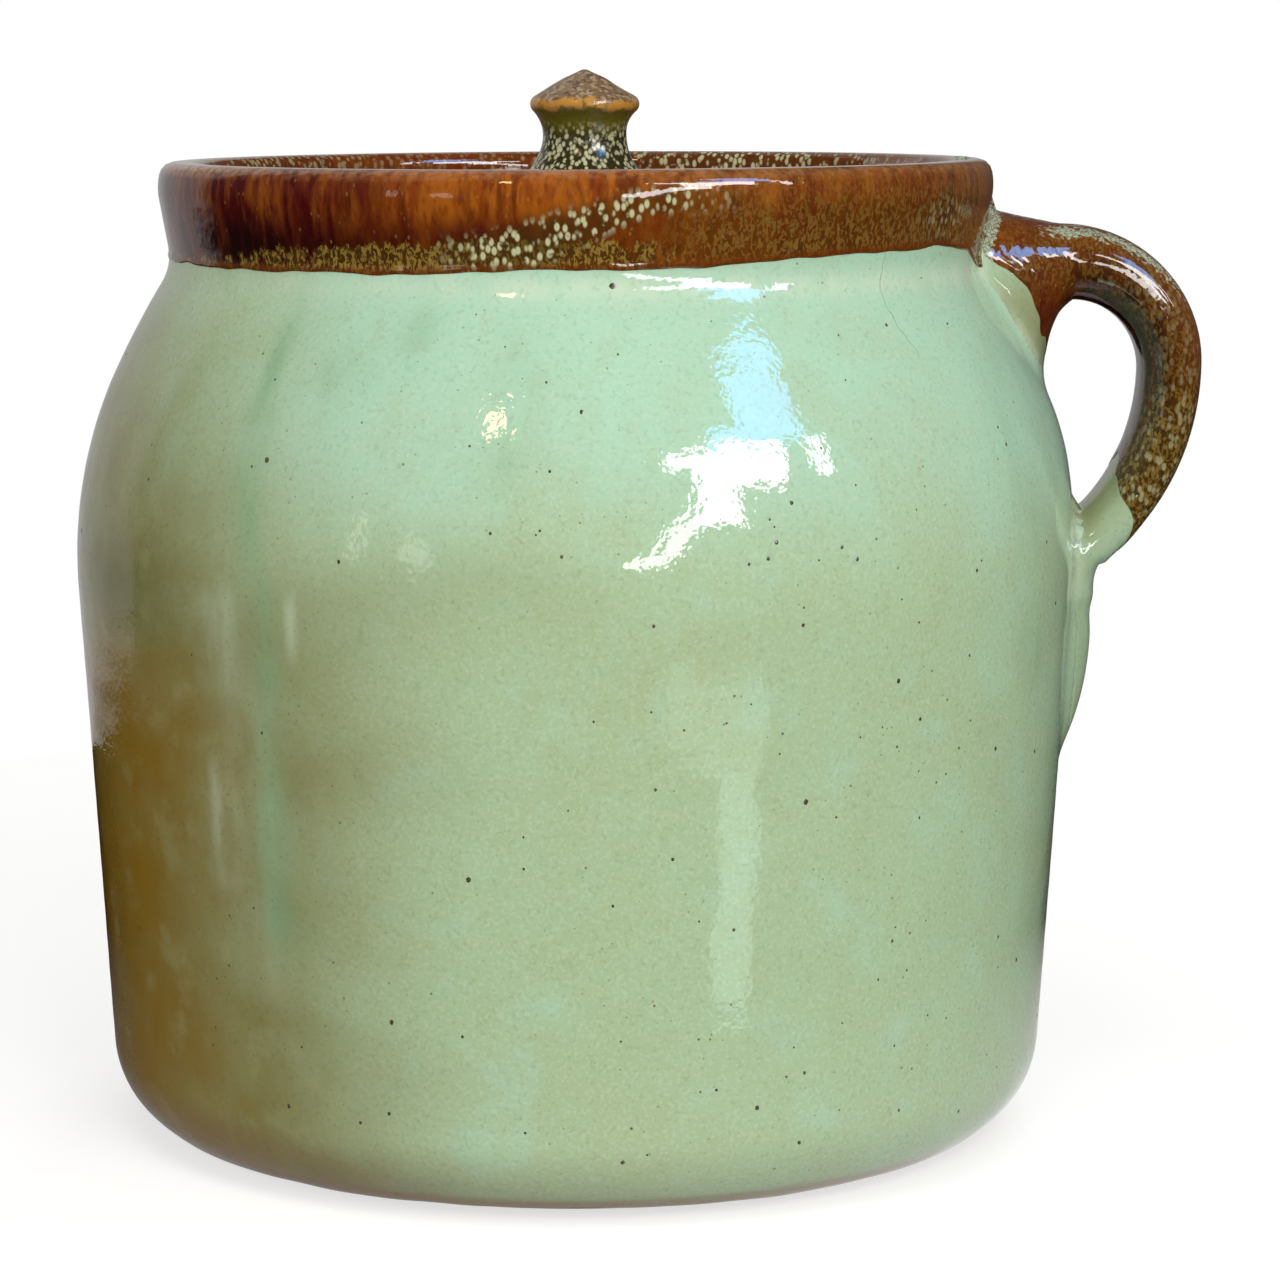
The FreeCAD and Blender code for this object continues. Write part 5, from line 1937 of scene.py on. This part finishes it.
    def glaze_marks(self, points: Array) -> Marks:
        """Where the lid's glaze is thin, flecked or dark. A mark left out reads as 0.

        Args:
            points: Points of the coat.

        Returns:
            The marks by name.
        """
        x, y = points[..., 0] - self.offset, points[..., 1]
        radius, angle = np.hypot(x, y), np.degrees(np.arctan2(y, x))
        edge = smooth(self.radius - 3.5, self.radius - 0.5, radius)
        pool = bell(radius - 16.0, 3.5)
        patch = 0.8 * bell(turn_between(angle, 50.0), 40.0) * bell(radius - 48.0, 18.0)
        return {
            "dark": 0.4 * bell(radius - 34.0, 14.0),
            "muddy": 0.75 * pool + 0.25,
            "swoosh": np.clip(patch + 0.6 * pool, 0.0, 1.0),
            "thin": np.full(radius.shape, 0.5),
            "worn_and_sheen": 0.7 * edge,
        }

    def knob(self) -> bpy.types.Object:
        """The coat on the knob, run together with the lid's coat at its foot."""
        path = self.knob_outline()
        lengths = np.linspace(0.0, path.total, 130)
        top_height = self.low + self.thickness
        centre = self.offset + self.knob_offset
        flat, _ = path.at(lengths)
        uneven = 0.07 + 0.05 * np.sin(lengths / 2.1)
        thinner = 1.0 - 0.7 * smooth(path.total - 5.0, path.total - 0.5, lengths)
        offset = self.pot.glaze * thinner + uneven
        top = self.turned(path, lengths, offset, centre, top_height, 0.05)
        skirt = 1.6 * bell(flat[:, 1] - self.pot.glaze, 0.9)
        way = top[..., :2] - np.array([centre, 0.0])
        size = np.linalg.norm(way, axis=-1, keepdims=True)
        top[..., :2] += way / np.maximum(size, 1e-6) * skirt[:, None, None]
        back = lengths[::-4]
        bottom = self.turned(path, back, np.full(len(back), 0.02), centre, top_height, 0.0)
        points = np.concatenate([top, bottom])
        marks = self.knob_marks(points, top_height)
        return Rings("knob_coat", points, len(top), len(top) - 1, marks, strips=1).build()

    def knob_marks(self, points: Array, foot: float) -> Marks:
        """Where the knob's glaze breaks gold, runs olive and pools dark.

        Args:
            points: Points of the coat.
            foot: The height at which the knob stands.

        Returns:
            The marks by name.
        """
        height = points[..., 2] - foot
        angle = np.arctan2(points[..., 1], points[..., 0] - self.offset - self.knob_offset)
        wavy = height + 0.3 * np.sin(5.0 * angle) + 0.2 * np.sin(11.0 * angle + 1.0)
        return {
            "edge": bell(wavy - self.knob_edge_height - 0.1, 0.95),
            "below": smooth(self.knob_edge_height, self.knob_edge_height - 1.6, wavy),
            "foot": smooth(13.4, 9.6, wavy),
            "flecked": smooth(14.0, 10.0, wavy),
            "cone": smooth(self.knob_edge_height + 0.6, self.knob_edge_height + 2.0, height),
        }


@dataclass
class IronSpecks:
    """The larger iron grains that stand in the green glaze, as small flat domes."""

    pot: PotForm
    seed: int = 7
    scattered: int = 150
    smallest: float = 0.22
    largest: float = 0.55
    proud: float = 0.07
    # The grains that can be told apart, each (angle, height, radius in mm).
    chosen: tuple[Triple, ...] = (
        (-125.9, 140.3, 0.62),
        (-64.8, 79.2, 0.66),
        (-101.6, 66.2, 0.6),
        (-69.5, 22.0, 0.55),
        (-66.7, 133.8, 0.45),
        (-61.1, 125.5, 0.42),
        (-68.8, 127.0, 0.48),
        (-69.8, 124.2, 0.42),
        (-91.5, 125.3, 0.4),
        (-47.7, 163.8, 0.42),
        (-65.9, 112.0, 0.42),
        (-82.1, 112.9, 0.38),
        (-124.6, 19.7, 0.5),
        (-111.4, 21.0, 0.42),
        (-85.4, 172.1, 0.8),
    )

    def places(self) -> Array:
        """The chosen grains and the scattered ones, which are denser on the front's right."""
        random = np.random.default_rng(self.seed)
        angle = random.uniform(-180.0, 180.0, self.scattered)
        drawn = random.uniform(0.0, 1.0, self.scattered)
        angle = np.where(drawn < 0.35, -60.0 + angle / 5.0, angle)
        height = random.uniform(8.0, 168.0, self.scattered)
        spread = random.uniform(0.0, 1.0, self.scattered) ** 2.2
        radius = self.smallest + (self.largest - self.smallest) * spread
        clear = (np.abs(angle) > 20.0) | (height < 70.0)
        scattered = np.stack([angle, height, radius], axis=-1)[clear]
        return np.concatenate([np.array(self.chosen), scattered])

    def build(self) -> bpy.types.Object:
        """Makes every grain as a fan of faces round its top."""
        random = np.random.default_rng(self.seed + 1)
        path = self.pot.outside
        points: list[list[float]] = []
        faces: list[tuple[int, ...]] = []
        corners = 10
        for angle, height, radius in self.places():
            length = path.length_at_height(np.array([height]), self.pot.base_radius)
            glaze = np.array([self.pot.glaze])
            centre, normal = self.pot.place(path, length, np.array([angle]), glaze)
            centre, normal = centre[0], normal[0]
            beside = np.cross((0.0, 0.0, 1.0), normal)
            beside = beside / np.linalg.norm(beside)
            above = np.cross(normal, beside)
            first = len(points)
            points.append((centre + normal * self.proud).tolist())
            for share, rise in ((0.62, 0.65 * self.proud), (1.0, -0.06)):
                for corner in range(corners):
                    turn = 2.0 * math.pi * corner / corners
                    size = radius * share * random.uniform(0.8, 1.15)
                    out = beside * math.cos(turn) + above * math.sin(turn) * 1.15
                    points.append((centre + out * size + normal * rise).tolist())
            for corner in range(corners):
                after = (corner + 1) % corners
                inner, outer = first + 1 + corner, first + 1 + corners + corner
                inner_after, outer_after = first + 1 + after, first + 1 + corners + after
                faces.append((first, inner, inner_after))
                faces.append((inner, outer, outer_after, inner_after))
        mesh = bpy.data.meshes.new("iron_specks")
        mesh.from_pydata((np.array(points) * MM).tolist(), [], faces)
        mesh.polygons.foreach_set("use_smooth", np.ones(len(faces), dtype=bool))
        made = bpy.data.objects.new("iron_specks", mesh)
        bpy.context.scene.collection.objects.link(made)
        return made


class Shine(Enum):
    """What a lamp does: it lights the jar or shows in its gloss."""

    LIGHT = "light"
    GLOSS = "gloss"


@dataclass(frozen=True)
class Lamp:
    """A soft panel of light, placed by the way that it shines from.

    Attributes:
        name: Its name.
        azimuth: The way towards it, in degrees from -Y towards +X.
        elevation: How many degrees above the level it stands.
        size: Its width and height, in m.
        radiance: How bright its face is.
        colour: Its colour.
        shine: Whether it lights the jar or shows in the gloss.
        turn: How far its face is turned in its own plane, in degrees.
        round_face: Whether its face is an ellipse.
        distance: How far away it is, in m.
        aim: The point that it faces.
    """

    name: str
    azimuth: float
    elevation: float
    size: Pair
    radiance: float
    colour: str = "#FFFFFF"
    shine: Shine = Shine.GLOSS
    turn: float = 0.0
    round_face: bool = False
    distance: float = 1.6
    aim: Triple = (0.04, -0.088, 0.131)

    def build(self) -> bpy.types.Object:
        """Sets up the lamp, unseen by the camera itself."""
        light = bpy.data.lights.new(self.name, "AREA")
        light.shape = "ELLIPSE" if self.round_face else "RECTANGLE"
        light.size, light.size_y = self.size
        area = self.size[0] * self.size[1] * (math.pi / 4 if self.round_face else 1.0)
        light.energy = self.radiance * area * math.pi
        light.color = srgb(self.colour)[:3]
        made = bpy.data.objects.new(self.name, light)
        azimuth, elevation = math.radians(self.azimuth), math.radians(self.elevation)
        level = math.cos(elevation)
        way = Vector((level * math.sin(azimuth), -level * math.cos(azimuth), math.sin(elevation)))
        made.location = Vector(self.aim) + way * self.distance
        spin = Quaternion((0.0, 0.0, 1.0), math.radians(self.turn))
        made.rotation_euler = (way.to_track_quat("Z", "Y") @ spin).to_euler()
        made.visible_camera = False
        made.visible_diffuse = self.shine is not Shine.GLOSS
        made.visible_glossy = self.shine is not Shine.LIGHT
        bpy.context.scene.collection.objects.link(made)
        return made


@dataclass
class Studio:
    """The pale floor, the lamps, the surroundings and the camera."""

    floor_radius: float = 0.45
    floor_drop: float = 0.0004
    floor_colour: str = "#B4B4B2"
    floor_glow: float = 0.66
    # In the gloss the floor fades out with distance and towards -X, both in m.
    mirrored_floor_level: float = 0.9
    mirrored_floor_fade: Pair = (0.22, 0.09)
    mirrored_floor_sides: Pair = (-0.12, 0.06)
    mirrored_floor_left_level: float = 0.12
    room_colour: str = "#A9A7A4"
    room_level: float = 0.5
    # In the gloss the room is darker below the horizon than above it.
    mirrored_room_softness: float = 0.1
    mirrored_room_levels: Pair = (0.1, 0.4)
    backdrop_turn: float = 26.0
    backdrop_half: float = 34.0
    backdrop_foot: float = -11.0
    backdrop_side_softness: float = 0.03
    backdrop_foot_softness: float = 0.02
    mirrored_backdrop_level: float = 0.45
    clip_start: float = 0.05
    camera_distance: float = 0.8
    camera_height: float = 0.21144
    camera_yaw: float = 0.0161
    camera_pitch: float = 0.1431
    camera_roll: float = 0.0016
    lens: float = 111.9
    sensor: float = 36.0
    lamps: tuple[Lamp, ...] = (
        Lamp("window_sky", 52.0, 39.5, (0.37, 0.48), 11.5, "#74B6FF", Shine.GLOSS),
        Lamp("window_sky_edge", 39.5, 33.5, (0.21, 0.14), 11.5, "#70B4FF", Shine.GLOSS),
        Lamp("window", 39.5, 26.0, (0.585, 0.28), 17.0),
        Lamp("window_left_arm", 25.0, 29.5, (0.244, 0.14), 13.0),
        Lamp("window_right_arm", 61.0, 25.5, (0.1, 0.31), 13.0),
        Lamp("window_foot", 33.0, 17.0, (0.214, 0.224), 15.0),
        Lamp("window_tail", 21.5, 10.3, (0.64, 0.16), 13.0, turn=38.0),
        Lamp("room_lamp", -24.0, 40.0, (0.12, 0.21), 19.0, "#FFD9A8", Shine.GLOSS, 8.0),
        Lamp("far_lamp", -38.0, 5.0, (0.2, 0.2), 2.4, "#F2F6EC", Shine.GLOSS, 0.0, True),
        Lamp("low_lamp", -52.0, 8.0, (0.07, 0.3), 3.0, "#F4EAD8", Shine.GLOSS, 0.0, True),
        Lamp(
            "pale_block", 26.6, 0.0, (0.061, 0.021), 1.5, "#D8FFF4", Shine.GLOSS,
            distance=0.1, aim=(0.034, -0.0895, 0.0675),
        ),
        Lamp(
            "pale_strip", 30.9, 0.0, (0.026, 0.055), 2.6, "#D8FFF4", Shine.GLOSS,
            distance=0.1, aim=(0.0407, -0.0882, 0.0295),
        ),
        Lamp("key_light", 25.0, 35.0, (1.0, 1.0), 4.6, shine=Shine.LIGHT, distance=1.8),
        Lamp("front_fill", -10.0, 15.0, (1.0, 0.8), 3.8, shine=Shine.LIGHT, distance=1.8),
        Lamp("high_fill", -16.0, 68.0, (1.1, 0.7), 3.2, shine=Shine.LIGHT, distance=1.8),
        Lamp("right_fill", 60.0, 6.0, (1.0, 1.0), 3.0, shine=Shine.LIGHT, distance=1.8),
        Lamp("left_fill", -62.0, 14.0, (0.9, 1.1), 2.3, shine=Shine.LIGHT, distance=1.8),
        Lamp("back_fill", 160.0, 30.0, (1.0, 1.0), 2.6, shine=Shine.LIGHT, distance=1.8),
    )

    def floor(self) -> bpy.types.Object:
        """The round floor: white to the camera except in the jar's shadow, dimmer in the gloss."""
        mesh = bpy.data.meshes.new("studio_floor")
        turns = np.linspace(0.0, 2.0 * math.pi, 96, endpoint=False)
        rim = [(self.floor_radius * math.cos(t), self.floor_radius * math.sin(t), 0.0) for t in turns]
        mesh.from_pydata(rim, [], [tuple(range(len(rim)))])
        made = bpy.data.objects.new("studio_floor", mesh)
        made.location.z = -self.floor_drop
        bpy.context.scene.collection.objects.link(made)
        surface = bpy.data.materials.new("studio_floor")
        surface.use_nodes = True
        tree = surface.node_tree
        tree.nodes.clear()
        card = add_node(tree, "ShaderNodeBsdfDiffuse", {"Color": srgb(self.floor_colour)})
        direct, mirrored = self._seen(tree)
        paint = Paint(tree, add_node(tree, "ShaderNodeTexCoord").outputs["Object"])
        away = add_node(tree, "ShaderNodeVectorMath", {0: paint.place}, operation="LENGTH")
        near = paint.step(away.outputs["Value"], *self.mirrored_floor_fade, straight=True)
        across = add_node(tree, "ShaderNodeSeparateXYZ", {0: paint.place}).outputs["X"]
        ends = (self.mirrored_floor_left_level, 1.0)
        side = paint.step(across, *self.mirrored_floor_sides, straight=True, ends=ends)
        shown = paint.maths("MULTIPLY", direct, self.floor_glow)
        glow = add_node(tree, "ShaderNodeEmission", {"Strength": shown}).outputs[0]
        lit = add_node(tree, "ShaderNodeAddShader", {0: card.outputs[0], 1: glow}).outputs[0]
        dim = paint.maths("MULTIPLY", paint.maths("MULTIPLY", near, side), self.mirrored_floor_level)
        pale = add_node(tree, "ShaderNodeEmission", {"Strength": dim}).outputs[0]
        both = add_node(tree, "ShaderNodeMixShader", {0: mirrored, 1: lit, 2: pale}).outputs[0]
        add_node(tree, "ShaderNodeOutputMaterial", {"Surface": both})
        made.data.materials.append(surface)
        return made

    @staticmethod
    def _seen(tree: bpy.types.NodeTree) -> tuple[Socket, Socket]:
        """1 for rays that look straight at a thing or through glass, and 1 for mirrored ones."""
        path = add_node(tree, "ShaderNodeLightPath")
        straight = {0: path.outputs["Is Camera Ray"], 1: path.outputs["Is Transmission Ray"]}
        direct = add_node(tree, "ShaderNodeMath", straight, operation="MAXIMUM").outputs[0]
        return direct, path.outputs["Is Glossy Ray"]

    def surroundings(self) -> None:
        """White behind the jar, dimmer in its gloss, and a dim room elsewhere."""
        world = bpy.data.worlds.new("studio")
        bpy.context.scene.world = world
        world.use_nodes = True
        tree = world.node_tree
        tree.nodes.clear()
        direct, mirrored = self._seen(tree)
        paint = Paint(tree, add_node(tree, "ShaderNodeTexCoord").outputs["Generated"])
        height = add_node(tree, "ShaderNodeSeparateXYZ", {0: paint.place}).outputs["Z"]
        flat = {0: paint.stretched((1.0, 1.0, 0.0))}
        flat = add_node(tree, "ShaderNodeVectorMath", flat, operation="NORMALIZE").outputs[0]
        turned = math.radians(self.backdrop_turn)
        way = (-math.sin(turned), math.cos(turned), 0.0)
        facing = add_node(tree, "ShaderNodeVectorMath", {0: flat, 1: way}, operation="DOT_PRODUCT")
        edge, soft = math.cos(math.radians(self.backdrop_half)), self.backdrop_side_softness
        inside = paint.step(facing.outputs["Value"], edge - soft, edge + soft, straight=True)
        foot, soft = math.sin(math.radians(self.backdrop_foot)), self.backdrop_foot_softness
        above = paint.step(height, foot - soft, foot + soft, straight=True)
        backdrop = paint.maths("MULTIPLY", paint.maths("MULTIPLY", inside, above), mirrored)
        backdrop = paint.maths("MULTIPLY", backdrop, self.mirrored_backdrop_level)
        white = paint.maths("MAXIMUM", direct, backdrop)
        soft, levels = self.mirrored_room_softness, self.mirrored_room_levels
        dimmed = paint.step(height, -soft, soft, straight=True, ends=levels)
        strength = paint.maths("MAXIMUM", dimmed, paint.maths("SUBTRACT", 1.0, mirrored))
        strength = paint.maths("MULTIPLY", strength, self.room_level)
        room = {"Color": srgb(self.room_colour), "Strength": strength}
        room = add_node(tree, "ShaderNodeBackground", room).outputs[0]
        plain = add_node(tree, "ShaderNodeBackground", {"Color": (1.0, 1.0, 1.0, 1.0)}).outputs[0]
        mix = add_node(tree, "ShaderNodeMixShader", {0: white, 1: room, 2: plain})
        add_node(tree, "ShaderNodeOutputWorld", {"Surface": mix.outputs[0]})

    def camera(self) -> bpy.types.Object:
        """The camera at the photograph's viewing angle."""
        data = bpy.data.cameras.new("view")
        data.lens, data.sensor_width = self.lens, self.sensor
        data.clip_start = self.clip_start
        made = bpy.data.objects.new("view", data)
        bpy.context.scene.collection.objects.link(made)
        yaw, pitch, roll = self.camera_yaw, self.camera_pitch, self.camera_roll
        forward = Vector(
            (math.sin(yaw) * math.cos(pitch), math.cos(yaw) * math.cos(pitch), -math.sin(pitch))
        )
        right = Vector((math.cos(yaw), -math.sin(yaw), 0.0))
        up = right.cross(forward)
        rolled = right * math.cos(roll) + up * math.sin(roll)
        upright = up * math.cos(roll) - right * math.sin(roll)
        turn = Matrix((rolled, upright, -forward)).transposed().to_4x4()
        place = Matrix.Translation((0.0, -self.camera_distance, self.camera_height))
        made.matrix_world = place @ turn
        bpy.context.scene.camera = made
        return made

    def build(self) -> None:
        """Sets everything up."""
        bpy.context.scene.view_settings.view_transform = "Standard"
        self.floor()
        self.surroundings()
        self.camera()
        for lamp in self.lamps:
            lamp.build()
        LOG.info("studio: %d lamps", len(self.lamps))


def main() -> None:
    """Builds the jar, the lid and the studio in order."""
    logging.basicConfig(level=logging.INFO, format="%(name)s %(message)s")
    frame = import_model()
    Studio().build()
    clay, celadon = StonewareClay().material(), CeladonGlaze().material()
    iron, liner, mottled = IronGlaze().material(), LinerGlaze().material(), MottledGlaze().material()
    pot_form = PotForm()
    handle_form = HandleForm(pot_form)
    pot, handle, lid = Pot(pot_form, handle_form), Handle(handle_form), Lid(pot_form)
    dress(pot.clay(), clay, Body.JAR, Slot.STONEWARE, ["pot_clay"])
    dress(pot.celadon(), celadon, Body.JAR, Slot.CELADON, ["celadon_glaze"])
    dress(pot.collar(), iron, Body.JAR, Slot.IRON, ["collar_glaze"])
    dress(pot.liner(), liner, Body.JAR, Slot.LINER, ["liner_glaze"])
    dress(handle.brown(), iron, Body.JAR, Slot.IRON, ["handle_brown_glaze"])
    dress(handle.green(), celadon, Body.JAR, Slot.CELADON, ["handle_green_glaze"])
    dress(IronSpecks(pot_form).build(), IronSpeck().material(), Body.JAR, Slot.CELADON)
    dress(lid.clay(), clay, Body.LID, Slot.STONEWARE, ["lid_clay"])
    dress(lid.glaze(), iron, Body.LID, Slot.IRON, ["lid_glaze"])
    dress(lid.knob(), mottled, Body.LID, Slot.MOTTLED, ["knob_glaze"])
    for name in ("handle_clay", "knob_clay"):
        frame["nodes"][name].data.materials.clear()
        frame["nodes"][name].data.materials.append(clay)


if __name__ == "__main__":
    main()
